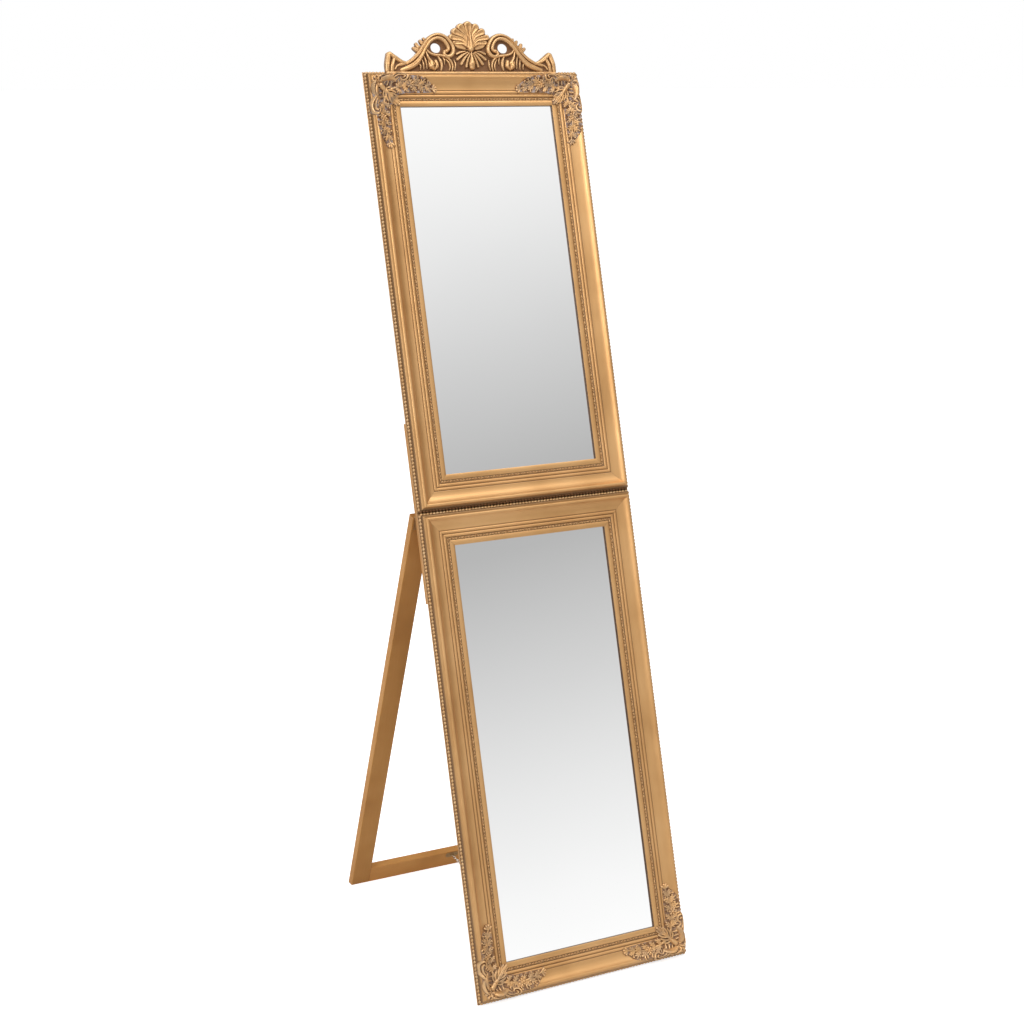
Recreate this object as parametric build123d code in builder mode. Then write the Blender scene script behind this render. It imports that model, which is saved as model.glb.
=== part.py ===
"""Floor mirror: two framed mirrors joined end to end, with a crest and a folding rear stand.

Frame: millimetres, +Z up, +X to the mirror's right as seen from the front, the mirrors face -Y.
The origin is on the floor, at the middle of the whole object's footprint.
"""

from build123d import *
import os
from math import asin, cos, degrees, radians, sin

os.makedirs("parts", exist_ok=True)

# ------------------------------------------------------------ driving dimensions
# whole object
frame_width = 450.0
lower_height = 896.0
upper_height = 808.0
crest_height = 96.0
tilt = 17.5  # degrees, how far the mirrors lean back
opening = 35.0  # degrees, between the mirrors and the open stand

# moulding section: inset runs inward from the outer rim, height runs forward from the back
moulding_width = 65.0
lip_height = 21.0
lip_inset = 8.7
rim_height = 3.0
sight_height = 9.0  # of the inner edge, beside the glass
rabbet_width = 8.0
rabbet_depth = 5.0

# glass and backing
glass_thickness = 2.0
backing_thickness = 2.5
glass_clearance = 1.0

# cast ornaments
relief_crown = (12.0, 25.5)  # inset and height of the ornament where it passes over the lip
crest_half_width = 182.0

# battens across the joint
batten_width = 39.0
batten_reach = 165.0  # above and below the joint
batten_thickness = 10.0
batten_inset = 1.5

# stand
leg_width = 39.0
leg_thickness = 16.0
rail_height = 35.0
leg_top_gap = 3.0  # from the hinge pin down to the leg's top end
dowel_radius = 3.98
dowel_hole_radius = 4.0
dowel_length = 30.0

# hinges
pin_height = 890.0  # along the lower mirror's back, from its bottom edge
pin_radius = 1.25
pin_clearance = 0.05
knuckle_radius = 2.2
knuckle_length = 6.0
knuckle_pitch = 6.4
knuckle_standoff = 2.6  # from the pin's axis to the wood
leaf_thickness = 1.2
leaf_length = 28.0
leaf_width = 32.0
leaf_gap = 3.4  # from the pin's axis to the plain edge of a leaf

# stay chain
chain_wire_radius = 0.65
link_bend_radius = 2.2
link_nominal_length = 7.6
link_overlap = 1.4
chain_sag = 12.0
panel_staple_height = 46.0
rail_staple_height = 28.0
staple_reach = 6.0
staple_wire_radius = 0.9
staple_half_width = 3.2
plate_length = 28.0
plate_height = 11.0
plate_thickness = 1.2

# screws: shank radius, head radius, length
small_screw = (1.3, 2.6, 9.0)
batten_screw = (1.6, 3.2, 17.0)
head_depth_share = 0.5  # head depth over head radius
screw_slot_width = 0.7

# ------------------------------------------------------------ directions and datum points
across = Vector(1, 0, 0)
up = Vector(0, sin(radians(tilt)), cos(radians(tilt)))
front = Vector(0, -cos(radians(tilt)), sin(radians(tilt)))

lean = opening - tilt
leg_down = Vector(0, sin(radians(lean)), -cos(radians(lean)))
leg_front = Vector(0, -cos(radians(lean)), -sin(radians(lean)))

half_width = frame_width / 2
full_height = lower_height + upper_height
sight_half_width = half_width - moulding_width
pin_depth = batten_thickness + knuckle_standoff

# with the mirrors' back bottom edge at y = 0, how far the object reaches to the front and to the back
pin_from_edge = up * pin_height - front * pin_depth
face_from_edge = pin_from_edge - leg_front * knuckle_standoff
foot_distance = face_from_edge.Z / cos(radians(lean))  # from pin level to the floor, along the leg's face
foot_length = leg_thickness / cos(radians(lean))
back_reach = face_from_edge.Y + foot_distance * sin(radians(lean)) + foot_length
front_reach = relief_crown[1] * cos(radians(tilt)) - relief_crown[0] * sin(radians(tilt))

edge_middle = Vector(0, (front_reach - back_reach) / 2, 0)
pin_centre = edge_middle + pin_from_edge
face_top = edge_middle + face_from_edge


def panel_plane(height, forward=0.0, side=0.0):
    """A plane parallel to the mirrors: x to the right, y up along them, z forward."""
    origin = edge_middle + up * height + front * forward + across * side
    return Plane(origin=origin, x_dir=across, z_dir=front)


def stand_plane(distance, forward=0.0, side=0.0):
    """A plane parallel to the stand's front face, at a distance below the pin: y up the legs, z forward."""
    origin = face_top + leg_down * distance + leg_front * forward + across * side
    return Plane(origin=origin, x_dir=across, z_dir=leg_front)


def finish(builder, label):
    """Name the finished piece and write its file."""
    builder.part.label = label
    export_step(builder.part, f"parts/{label}.step")


# ------------------------------------------------------------ mouldings
def moulding_section(plane):
    """Section of the frame moulding: x is the inset from the outer rim, y the height above the back."""
    rabbet_inset = moulding_width - rabbet_width
    with BuildSketch(plane) as section:
        with BuildLine():
            Polyline((0, 0), (0, rim_height), (1.6, 3.2), (4.2, 9.6), (3.9, 10.4), (5.6, 14.0), (6.6, 14.3))
            Line((6.6, 14.3), (lip_inset, 17.4))
            ThreePointArc((lip_inset, 17.4), (9.7, 20.0), (12.2, lip_height))
            ThreePointArc((12.2, lip_height), (14.0, 20.5), (15.2, 19.2))
            ThreePointArc((15.2, 19.2), (23.6, 12.9), (35.2, 10.6))
            Line((35.2, 10.6), (36.4, 9.8))
            ThreePointArc((36.4, 9.8), (39.5, 12.0), (42.6, 9.6))
            Line((42.6, 9.6), (43.3, 9.5))
            ThreePointArc((43.3, 9.5), (46.2, 11.4), (49.1, 9.2))
            Polyline((49.1, 9.2), (49.8, 8.6), (54.6, 8.3), (55.0, 9.2))
            ThreePointArc((55.0, 9.2), (60.5, 10.0), (moulding_width, sight_height))
            Polyline(
                (moulding_width, sight_height),
                (moulding_width, rabbet_depth),
                (rabbet_inset, rabbet_depth),
                (rabbet_inset, 0),
                (0, 0),
            )
        make_face()
    return section.sketch


def relief_section(plane):
    """Section that a cast corner ornament fills: the moulding's outline, raised a few millimetres."""
    with BuildSketch(plane) as section:
        with BuildLine():
            Polyline((7.4, 12.0), (7.4, 22.0), relief_crown, (16.0, 24.4), (24.0, 18.4), (36.0, 15.4))
            Polyline((36.0, 15.4), (52.0, 13.8), (moulding_width, 11.6), (moulding_width, 7.2), (7.4, 7.2))
            Line((7.4, 7.2), (7.4, 12.0))
        make_face()
    return section.sketch


def member_plane(base, top, side):
    """Plane at the middle of one member's outer back edge: x inward, y forward, z along the member."""
    middle = (base + top) / 2
    places = {
        "left": (edge_middle + up * middle - across * half_width, across),
        "right": (edge_middle + up * middle + across * half_width, across * -1),
        "top": (edge_middle + up * top, up * -1),
        "bottom": (edge_middle + up * base, up),
    }
    origin, inward = places[side]
    return Plane(origin=origin, x_dir=inward, z_dir=inward.cross(front))


def member_length(base, top, side):
    """Outer length of a member."""
    return top - base if side in ("left", "right") else frame_width


def mitre_plane(plane, length, end):
    """The 45 degree cut at one end (+1 or -1) of a member, facing away from it."""
    corner = plane.origin + plane.z_dir * (end * length / 2)
    return Plane(origin=corner, z_dir=plane.x_dir + plane.z_dir * end)


def moulding_member(label, base, top, side):
    """One mitred length of moulding."""
    plane = member_plane(base, top, side)
    length = member_length(base, top, side)
    section = moulding_section(plane)
    with BuildPart() as member:
        extrude(section, amount=length / 2, both=True)
        for end in (-1, 1):
            split(bisect_by=mitre_plane(plane, length, end), keep=Keep.BOTTOM)
    finish(member, label)
    return member.part


panels = {"lower": (0.0, lower_height), "upper": (lower_height, full_height)}
members = {}
for panel, (base, top) in panels.items():
    for side, word in (("left", "stile"), ("right", "stile"), ("top", "rail"), ("bottom", "rail")):
        name = f"{panel}_{side}_{word}"
        members[panel, side] = moulding_member(name, base, top, side)

# ------------------------------------------------------------ glass and backing
sheet_trim = rabbet_width - glass_clearance


def rabbet_sheet(label, base, top, back, thickness):
    """A sheet that lies in a panel's rabbet, its rear face at a height above the frame's back."""
    with BuildPart() as sheet:
        with BuildSketch(panel_plane((base + top) / 2, back)):
            Rectangle(
                2 * (sight_half_width + sheet_trim),
                top - base - 2 * (moulding_width - sheet_trim),
            )
        extrude(amount=thickness)
    finish(sheet, label)


glass_back = rabbet_depth - glass_thickness
backing_back = glass_back - backing_thickness
for panel, (base, top) in panels.items():
    rabbet_sheet(f"{panel}_mirror", base, top, glass_back, glass_thickness)
    rabbet_sheet(f"{panel}_backing_board", base, top, backing_back, backing_thickness)

# ------------------------------------------------------------ fasteners hidden in the frames
nail_leg = 5.0
nail_thickness = 0.5
nail_depth = 7.0
nail_insets = (17.0, 38.0)
point_length = 12.0
point_width = 8.0
point_thickness = 0.5
point_bite = 5.0  # how far a glazing point is driven into the wood
point_spacing = 230.0


def corner_nails(label, base, top):
    """V-shaped nails driven from the back across the four mitres of a panel, two to a corner."""
    with BuildPart() as nails:
        for corner_up, corner_side in ((base, -1), (base, 1), (top, -1), (top, 1)):
            inward_up = 1 if corner_up == base else -1
            for inset in nail_insets:
                seat = panel_plane(corner_up + inward_up * inset, 0, corner_side * (half_width - inset))
                with BuildSketch(seat):
                    with BuildLine() as bent:
                        Polyline((-corner_side * nail_leg, 0), (0, 0), (0, inward_up * nail_leg))
                    trace(bent.line, nail_thickness)
                extrude(amount=nail_depth)
    finish(nails, label)


def glazing_points(label, base, top):
    """Flat steel points driven into the rabbet's wall, behind the backing board."""
    wall = half_width - moulding_width + rabbet_width
    middle = (base + top) / 2
    reach = point_length / 2 - point_bite
    inner_height = (top - base) / 2 - moulding_width + rabbet_width
    with BuildPart() as points:
        with BuildSketch(panel_plane(middle)):
            for side in (-1, 1):
                with Locations((side * (wall - reach), 0)):
                    with GridLocations(0, point_spacing, 1, 3):
                        Rectangle(point_length, point_width)
                with Locations((0, side * (inner_height - reach))):
                    Rectangle(point_width, point_length)
        extrude(amount=point_thickness)
    finish(points, label)


for panel, (base, top) in panels.items():
    corner_nails(f"{panel}_corner_nails", base, top)
    glazing_points(f"{panel}_glazing_points", base, top)


# ------------------------------------------------------------ cast corner ornaments
def ornament_outline(plane, inward_side, inward_up):
    """Leafy L shape at a corner: a broad corner with one ear and one tapering spray along each member."""
    arm = [(8.0, 8.0), (58.0, 8.0), (70.0, 9.0), (76.0, 15.0), (90.0, 20.0), (112.0, 26.0), (142.0, 38.0)]
    arm += [(124.0, 44.0), (104.0, 50.0), (88.0, 56.0), (72.0, 62.0), (63.0, 63.0)]
    flipped = [(inset, along) for along, inset in arm]
    ring = arm + flipped[-2:0:-1]
    with BuildSketch(plane) as outline:
        with BuildLine():
            Polyline(*[(inward_side * x, inward_up * y) for x, y in ring], close=True)
        make_face()
    return outline.sketch


def corner_ornament(label, panel, level, side):
    """Cast ornament over one corner, hollow on the back to sit on the mouldings' faces."""
    base, top = panels[panel]
    corner_up, inward_up = (base, 1) if level == "bottom" else (top, -1)
    inward_side = 1 if side == "left" else -1
    corner = panel_plane(corner_up, 0, -inward_side * half_width)
    outline = ornament_outline(corner, inward_side, inward_up)
    sections = []
    for place in (side, level):
        plane = member_plane(base, top, place)
        sections.append((relief_section(plane), plane, member_length(base, top, place)))
    bars = []
    for section, plane, length in sections:
        with BuildPart() as bar:
            extrude(section, amount=length / 2, both=True)
            for end in (-1, 1):
                split(bisect_by=mitre_plane(plane, length, end), keep=Keep.BOTTOM)
        bars.append(bar.part)
    with BuildPart() as ornament:
        add(bars)
        extrude(outline, amount=2 * lip_height, mode=Mode.INTERSECT)
        add([members[panel, side], members[panel, level]], mode=Mode.SUBTRACT)
    finish(ornament, label)


for panel, level in (("lower", "bottom"), ("upper", "top")):
    for side in ("left", "right"):
        corner_ornament(f"{panel}_{side}_corner_ornament", panel, level, side)

# ------------------------------------------------------------ crest
crest_back = 1.0
web_depth = 6.0
scroll_depth = 12.0
shell_depth = 14.0
shell_root = 40.0  # height of the point where the shell's flutes meet
flute_count = 9
flute_spread = 19.0  # degrees between flutes
flute_radius = 6.6
lower_rib_count = 6
lower_rib_spread = 22.0
hole_place = (70.0, 40.0)
hole_radius = 8.4
flare_angle = degrees(asin(lip_inset / (lip_inset**2 + lip_height**2) ** 0.5))

crest_datum = panel_plane(full_height, crest_back)
seat_plane = Plane(
    origin=crest_datum.origin + up * 0.15,
    z_dir=up.rotate(Axis((0, 0, 0), (1, 0, 0)), -flare_angle),
)


def fan_plane(turn):
    """Plane at the shell's root whose y axis is turned clockwise from straight up."""
    x_dir = across.rotate(Axis((0, 0, 0), front), -turn)
    return Plane(origin=panel_plane(full_height + shell_root, crest_back).origin, x_dir=x_dir, z_dir=front)


with BuildPart() as crest:
    # web: the low back plate that everything stands on
    with BuildSketch(crest_datum):
        with BuildLine():
            Polyline((0, -12), (crest_half_width, -12), (crest_half_width - 2, 4), (172, 14), (150, 10))
            Spline((150, 10), (112, 30), (88, 58), (62, 62))
            Polyline((62, 62), (38, 62), (38, 40), (0, 40), (0, -12))
        make_face()
        mirror(about=Plane.YZ)
        with Locations(hole_place, (-hole_place[0], hole_place[1])):
            Circle(hole_radius, mode=Mode.SUBTRACT)
    extrude(amount=web_depth)
    # S-shaped arms that roll into C-scrolls beside the shell
    with BuildSketch(crest_datum):
        with BuildLine() as arm:
            Spline((174, 2), (140, 9), (112, 31), (92, 57), (68, 64), (51, 51), (53, 34), (64, 31))
        trace(arm.line, 10)
        mirror(about=Plane.YZ)
    extrude(amount=scroll_depth)
    # upright leaf at each outer end
    with BuildSketch(crest_datum):
        with BuildLine():
            Polyline((152, -4), (158, 22), (163, 34), (170, 36), (175, 28), (176, 12), (181, -4), (152, -4))
        make_face()
        mirror(about=Plane.YZ)
    extrude(amount=scroll_depth - 2)
    # shell flutes, fanned about the root
    for number in range(flute_count):
        turn = (number - (flute_count - 1) / 2) * flute_spread
        reach = (crest_height - shell_root - flute_radius) * (1 - abs(turn) / 300)
        with BuildSketch(fan_plane(turn)):
            with BuildLine():
                Polyline((-3, -4), (3, -4), (flute_radius, reach), (-flute_radius, reach), (-3, -4))
            make_face()
            with Locations((0, reach)):
                Circle(flute_radius)
        extrude(amount=shell_depth - abs(turn) / 30)
    # fan of ribs below the shell
    for number in range(lower_rib_count):
        turn = 180 + (number - (lower_rib_count - 1) / 2) * lower_rib_spread
        with BuildSketch(fan_plane(turn)):
            with BuildLine():
                Polyline((-1.6, 2), (1.6, 2), (3, 32), (-3, 32), (-1.6, 2))
            make_face()
        extrude(amount=shell_depth - 3)
    # the root boss and the drop that hangs below it
    with BuildSketch(crest_datum):
        with Locations((0, 11)):
            Circle(7)
        with Locations((0, shell_root)):
            Circle(8)
    extrude(amount=shell_depth)
    split(bisect_by=seat_plane, keep=Keep.TOP)
finish(crest, "crest")


# ------------------------------------------------------------ screws
def screw_group(label, seats, size):
    """Countersunk screws, flush with their seats: each seat is a plane whose normal points out of the work."""
    shank_radius, head_radius, length = size
    head_depth = head_radius * head_depth_share
    with BuildPart() as screws:
        with Locations(*[Location(seat) for seat in seats]):
            Cylinder(shank_radius, length, align=(Align.CENTER, Align.CENTER, Align.MAX))
            Cone(
                shank_radius,
                head_radius,
                head_depth,
                align=(Align.CENTER, Align.CENTER, Align.MAX),
            )
            for turn in (0, 90):
                Box(
                    1.2 * head_radius,
                    screw_slot_width,
                    head_depth * 0.6,
                    rotation=(0, 0, turn),
                    align=(Align.CENTER, Align.CENTER, Align.MAX),
                    mode=Mode.SUBTRACT,
                )
    finish(screws, label)


# ------------------------------------------------------------ straps behind the crest
strap_side = 95.0
strap_width = 16.0
strap_thickness = 1.5
strap_low = -34.0
strap_high = 16.0
strap_holes = (-28.0, -16.0, 8.0)
strap_screw = (1.5, 3.0, 7.0)


def facing_back(plane):
    """The same place with the normal turned to the rear."""
    return Plane(origin=plane.origin, x_dir=plane.x_dir * -1, z_dir=plane.z_dir * -1)


strap_seats = []
with BuildPart() as crest_straps:
    for side in (-strap_side, strap_side):
        with BuildSketch(panel_plane(full_height + (strap_low + strap_high) / 2, -strap_thickness, side)):
            RectangleRounded(strap_width, strap_high - strap_low, 5)
        extrude(amount=strap_thickness)
        seats = [facing_back(panel_plane(full_height + h, -strap_thickness, side)) for h in strap_holes]
        with Locations(*[Location(seat) for seat in seats]):
            CounterSinkHole(strap_screw[0], strap_screw[1], depth=strap_thickness)
        strap_seats += seats
finish(crest_straps, "crest_straps")
screw_group("crest_screws", strap_seats, strap_screw)

# pads that fill the small gap between the crest's back and the straps
with BuildPart() as crest_pads:
    for side in (-strap_side, strap_side):
        with BuildSketch(panel_plane(full_height + 8.5, 0, side)):
            Rectangle(strap_width, 14)
        extrude(amount=crest_back)
finish(crest_pads, "crest_pads")

# ------------------------------------------------------------ battens across the joint
batten_centre = half_width - batten_inset - batten_width / 2
batten_screw_places = (-140.0, -85.0, -50.0, 40.0, 90.0, 140.0)
batten_seats = []
for side, sign in (("left", -1), ("right", 1)):
    with BuildPart() as batten:
        with BuildSketch(panel_plane(lower_height, -batten_thickness, sign * batten_centre)):
            Rectangle(batten_width, 2 * batten_reach)
        extrude(amount=batten_thickness)
        seats = [
            facing_back(panel_plane(lower_height + place, -batten_thickness, sign * batten_centre))
            for place in batten_screw_places
        ]
        with Locations(*[Location(seat) for seat in seats]):
            CounterSinkHole(batten_screw[0], batten_screw[1], depth=batten_thickness)
        batten_seats += seats
    finish(batten, f"{side}_batten")
screw_group("batten_screws", batten_seats, batten_screw)

# ------------------------------------------------------------ stand
leg_centre = half_width - leg_width / 2
rail_end = half_width - leg_width


def stand_profile(plane, top_distance):
    """Side view of a stand member, on a YZ plane: its foot is cut flat to the floor."""
    front_top = face_top + leg_down * top_distance
    back_top = front_top - leg_front * leg_thickness
    front_foot = face_top + leg_down * foot_distance
    corners = [(p.Y, p.Z) for p in (front_top, back_top)]
    corners += [(front_foot.Y + foot_length, 0), (front_foot.Y, 0)]
    with BuildSketch(plane) as profile:
        with BuildLine():
            Polyline(*corners, close=True)
        make_face()
    return profile.sketch


dowel_seats = {
    sign: [
        Plane(
            origin=stand_plane(foot_distance - up_leg, -leg_thickness / 2, sign * rail_end).origin,
            z_dir=across,
        )
        for up_leg in (7.0, 26.0)
    ]
    for sign in (-1, 1)
}

for side, sign in (("left", -1), ("right", 1)):
    start = rail_end if sign == 1 else -half_width
    profile = stand_profile(Plane.YZ.offset(start), leg_top_gap)
    with BuildPart() as leg:
        extrude(profile, amount=leg_width)
        long_edges = edges().filter_by(Axis((0, 0, 0), leg_down))
        fillet(long_edges, 1.2)
        with Locations(*[Location(seat) for seat in dowel_seats[sign]]):
            Cylinder(dowel_hole_radius, dowel_length, mode=Mode.SUBTRACT)
    finish(leg, f"{side}_stand_leg")

rail_profile = stand_profile(Plane.YZ.offset(-rail_end), foot_distance - rail_height)
with BuildPart() as stand_rail:
    extrude(rail_profile, amount=2 * rail_end)
    with Locations(*[Location(seat) for sign in (-1, 1) for seat in dowel_seats[sign]]):
        Cylinder(dowel_hole_radius, dowel_length, mode=Mode.SUBTRACT)
finish(stand_rail, "stand_rail")

with BuildPart() as rail_dowels:
    with Locations(*[Location(seat) for sign in (-1, 1) for seat in dowel_seats[sign]]):
        Cylinder(dowel_radius, dowel_length - 0.4)
finish(rail_dowels, "rail_dowels")

# ------------------------------------------------------------ hinges
fixed_knuckles = (-2, 0, 2)
moving_knuckles = (-1, 1)
leaf_hole_places = ((-10.0, 21.0), (0.0, 11.0), (10.0, 21.0))  # across the leaf, and from the pin


def hinge_leaf(label, side_offset, down, wood, knuckles):
    """One hinge leaf: `down` runs along the leaf from the pin, `wood` from the pin towards what it is screwed to."""
    centre = pin_centre + across * side_offset
    plate_out = knuckle_standoff - leaf_thickness / 2
    side_view = Plane(origin=centre, x_dir=down, z_dir=down.cross(wood))
    with BuildPart() as leaf:
        with BuildSketch(side_view):
            with Locations(((leaf_gap + leaf_length) / 2, plate_out)):
                Rectangle(leaf_length - leaf_gap, leaf_thickness)
        extrude(amount=leaf_width / 2, both=True)
        for number in knuckles:
            with BuildSketch(side_view.offset(number * knuckle_pitch)):
                Circle(knuckle_radius)
                with Locations((leaf_gap / 2 + 0.5, plate_out)):
                    Rectangle(leaf_gap + 1, leaf_thickness)
            extrude(amount=knuckle_length / 2, both=True)
        with Locations(Location(side_view)):
            Cylinder(pin_radius + pin_clearance, leaf_width + 2, mode=Mode.SUBTRACT)
        seats = [
            Plane(
                origin=centre + across * x + down * y + wood * (knuckle_standoff - leaf_thickness),
                x_dir=across,
                z_dir=wood * -1,
            )
            for x, y in leaf_hole_places
        ]
        with Locations(*[Location(seat) for seat in seats]):
            CounterSinkHole(small_screw[0], small_screw[1], depth=leaf_thickness)
    finish(leaf, label)
    return seats


fixed_seats = []
moving_seats = []
for side, sign in (("left", -1), ("right", 1)):
    offset = sign * leg_centre
    fixed_seats += hinge_leaf(f"{side}_fixed_leaf", offset, up * -1, front, fixed_knuckles)
    moving_seats += hinge_leaf(f"{side}_moving_leaf", offset, leg_down, leg_front * -1, moving_knuckles)
    with BuildPart() as hinge_pin:
        with Locations(Location(Plane(origin=pin_centre + across * offset, z_dir=across))):
            Cylinder(pin_radius, leaf_width + 1.6)
            with Locations((0, 0, leaf_width / 2 + 1.0), (0, 0, -leaf_width / 2 - 1.0)):
                Cylinder(knuckle_radius, 1.0)
    finish(hinge_pin, f"{side}_hinge_pin")
screw_group("fixed_leaf_screws", fixed_seats, small_screw)
screw_group("moving_leaf_screws", moving_seats, small_screw)


# ------------------------------------------------------------ stay chain and its two eye plates
def eye_plate(label, seat):
    """A small plate screwed to a face, with a wire staple that the chain's end link runs through."""
    straight = staple_reach - staple_half_width
    staple_plane = Plane(origin=seat.origin, x_dir=across, z_dir=across.cross(seat.z_dir))
    screw_places = [seat.offset(plate_thickness).location * Location((x, 0, 0)) for x in (-10.0, 10.0)]
    with BuildPart() as plate:
        with BuildSketch(seat):
            RectangleRounded(plate_length, plate_height, 4)
        extrude(amount=plate_thickness)
        with Locations(*screw_places):
            CounterSinkHole(small_screw[0], small_screw[1], depth=plate_thickness)
        with BuildLine(staple_plane) as staple_line:
            Line((-staple_half_width, plate_thickness / 2), (-staple_half_width, straight))
            ThreePointArc((-staple_half_width, straight), (0, staple_reach), (staple_half_width, straight))
            Line((staple_half_width, straight), (staple_half_width, plate_thickness / 2))
        with BuildSketch(Plane(origin=staple_line.line @ 0, z_dir=staple_line.line % 0)):
            Circle(staple_wire_radius)
        sweep()
    finish(plate, label)
    return [Plane(place) for place in screw_places]


panel_seat = facing_back(panel_plane(panel_staple_height))
rail_seat = stand_plane(foot_distance - rail_staple_height)
screw_group("panel_plate_screws", eye_plate("panel_chain_plate", panel_seat), small_screw)
screw_group("rail_plate_screws", eye_plate("rail_chain_plate", rail_seat), small_screw)

# the end links reach past the staples' wire, towards the plates
past_wire = staple_wire_radius + chain_wire_radius + 0.1
chain_start = panel_seat.origin + panel_seat.z_dir * staple_reach
chain_end = rail_seat.origin + rail_seat.z_dir * staple_reach
run = (chain_end - chain_start).normalized()
chain_start -= run * past_wire
chain_end += run * past_wire
chord = (chain_end - chain_start).length
chain_length = chord * (1 + 8 / 3 * (chain_sag / chord) ** 2)

link_step = link_nominal_length - link_overlap
link_count = 2 * int((chain_length - link_overlap) / link_step / 2) + 1  # odd: both end links stand upright
link_length = (chain_length + (link_count - 1) * link_overlap) / link_count
link_straight = link_length / 2 - link_bend_radius


def chain_point(share):
    """Point of the hanging chain's centreline, at a share of its length."""
    drop = 4 * chain_sag * share * (1 - share)
    return chain_start + (chain_end - chain_start) * share - Vector(0, 0, drop)


with BuildPart() as stay_chain:
    for number in range(link_count):
        share = (link_length / 2 + number * (link_length - link_overlap)) / chain_length
        ahead = (chain_point(share + 0.002) - chain_point(share - 0.002)).normalized()
        turn_axis = across if number % 2 == 0 else across.cross(ahead)
        link_plane = Plane(origin=chain_point(share), x_dir=ahead, z_dir=turn_axis)
        with BuildLine(link_plane) as link:
            Line((-link_straight, -link_bend_radius), (link_straight, -link_bend_radius))
            ThreePointArc(
                (link_straight, -link_bend_radius),
                (link_straight + link_bend_radius, 0),
                (link_straight, link_bend_radius),
            )
            Line((link_straight, link_bend_radius), (-link_straight, link_bend_radius))
            ThreePointArc(
                (-link_straight, link_bend_radius),
                (-link_straight - link_bend_radius, 0),
                (-link_straight, -link_bend_radius),
            )
        with BuildSketch(Plane(origin=link.line @ 0, z_dir=link.line % 0)):
            Circle(chain_wire_radius)
        sweep(path=link.wires()[0])
finish(stay_chain, "stay_chain")

print("chain length along its centreline", round(chain_length, 1), "links", link_count)
print("hinge axis y, z", round(pin_centre.Y, 3), round(pin_centre.Z, 3))
print("stand foot front y", round((face_top + leg_down * foot_distance).Y, 3))
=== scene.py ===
import math

import bmesh
import bpy
import numpy as np
from mathutils import Matrix, Vector


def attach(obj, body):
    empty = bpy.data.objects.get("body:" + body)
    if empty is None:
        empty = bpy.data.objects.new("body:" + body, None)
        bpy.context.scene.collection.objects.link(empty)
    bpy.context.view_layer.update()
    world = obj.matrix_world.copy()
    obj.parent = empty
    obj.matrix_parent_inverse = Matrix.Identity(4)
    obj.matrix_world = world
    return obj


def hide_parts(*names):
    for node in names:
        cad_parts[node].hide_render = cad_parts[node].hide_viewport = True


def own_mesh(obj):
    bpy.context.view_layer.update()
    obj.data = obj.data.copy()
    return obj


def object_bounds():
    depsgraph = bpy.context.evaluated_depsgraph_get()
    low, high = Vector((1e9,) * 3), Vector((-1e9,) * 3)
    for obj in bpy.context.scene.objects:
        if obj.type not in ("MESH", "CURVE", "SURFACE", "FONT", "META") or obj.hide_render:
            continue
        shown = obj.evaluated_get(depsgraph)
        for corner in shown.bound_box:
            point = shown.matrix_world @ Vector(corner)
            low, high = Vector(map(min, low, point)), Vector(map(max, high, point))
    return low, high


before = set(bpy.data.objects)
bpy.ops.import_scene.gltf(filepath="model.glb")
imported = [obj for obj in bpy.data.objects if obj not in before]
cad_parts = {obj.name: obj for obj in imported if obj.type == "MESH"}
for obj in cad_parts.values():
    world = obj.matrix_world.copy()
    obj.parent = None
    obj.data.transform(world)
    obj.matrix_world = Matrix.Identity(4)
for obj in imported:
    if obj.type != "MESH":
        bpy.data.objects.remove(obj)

MM = 0.001
cad_box = [list(corner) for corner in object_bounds()]

# ---------------------------------------------------------------- the panels' frame
# u runs across the mirror, v up the panels and n out of their faces, all in mm.


def node_points(name):
    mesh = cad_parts[name].data
    flat = np.empty(3 * len(mesh.vertices))
    mesh.vertices.foreach_get("co", flat)
    return flat.reshape(-1, 3)


stile_points = node_points("lower_left_stile")
heel = stile_points[stile_points[:, 2].argmin()]
crown = stile_points[stile_points[:, 1].argmax()]
tilt = math.atan2(crown[1] - heel[1], crown[2] - heel[2])
SIN, COS = math.sin(tilt), math.cos(tilt)
RIGHT = np.array([1.0, 0.0, 0.0])
UP = np.array([0.0, SIN, COS])
FRONT = np.array([0.0, -COS, SIN])
EDGE = np.array([0.0, heel[1], heel[2]])


def place(u, v, n):
    """Points in metres in the frame's axes, from panel coordinates in mm."""
    u, v, n = np.broadcast_arrays(u, v, n)
    return EDGE + MM * (
        u[..., None] * RIGHT + v[..., None] * UP + n[..., None] * FRONT
    )


def span(name):
    """A node's lowest and highest (u, v, n), in mm."""
    offset = (node_points(name) - EDGE) / MM
    coords = np.stack([offset @ RIGHT, offset @ UP, offset @ FRONT], 1)
    return coords.min(0), coords.max(0)


HALF_WIDTH = -span("lower_left_stile")[0][0]
PANELS = {  # the lowest and highest v of each panel
    "lower": (0.0, span("lower_left_stile")[1][1]),
    "upper": (span("upper_left_stile")[0][1], span("upper_left_stile")[1][1]),
}

# ---------------------------------------------------------------- making objects


def new_object(name, points, faces, material, body, smooth=True, angle=40):
    mesh = bpy.data.meshes.new(name)
    mesh.from_pydata([tuple(p) for p in points], [], [tuple(f) for f in faces])
    mesh.validate()
    obj = bpy.data.objects.new(name, mesh)
    bpy.context.scene.collection.objects.link(obj)
    mesh.polygons.foreach_set("use_smooth", [smooth] * len(mesh.polygons))
    if smooth and angle:
        mesh.set_sharp_from_angle(angle=math.radians(angle))
    mesh.update()
    mesh.materials.append(material)
    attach(obj, body)
    return obj


def paint(obj, **layers):
    """Stores values on the object's points, for its material to read."""
    for key, values in layers.items():
        layer = obj.data.attributes.new(key, "FLOAT", "POINT")
        layer.data.foreach_set("value", np.asarray(values, np.float32))


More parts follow.
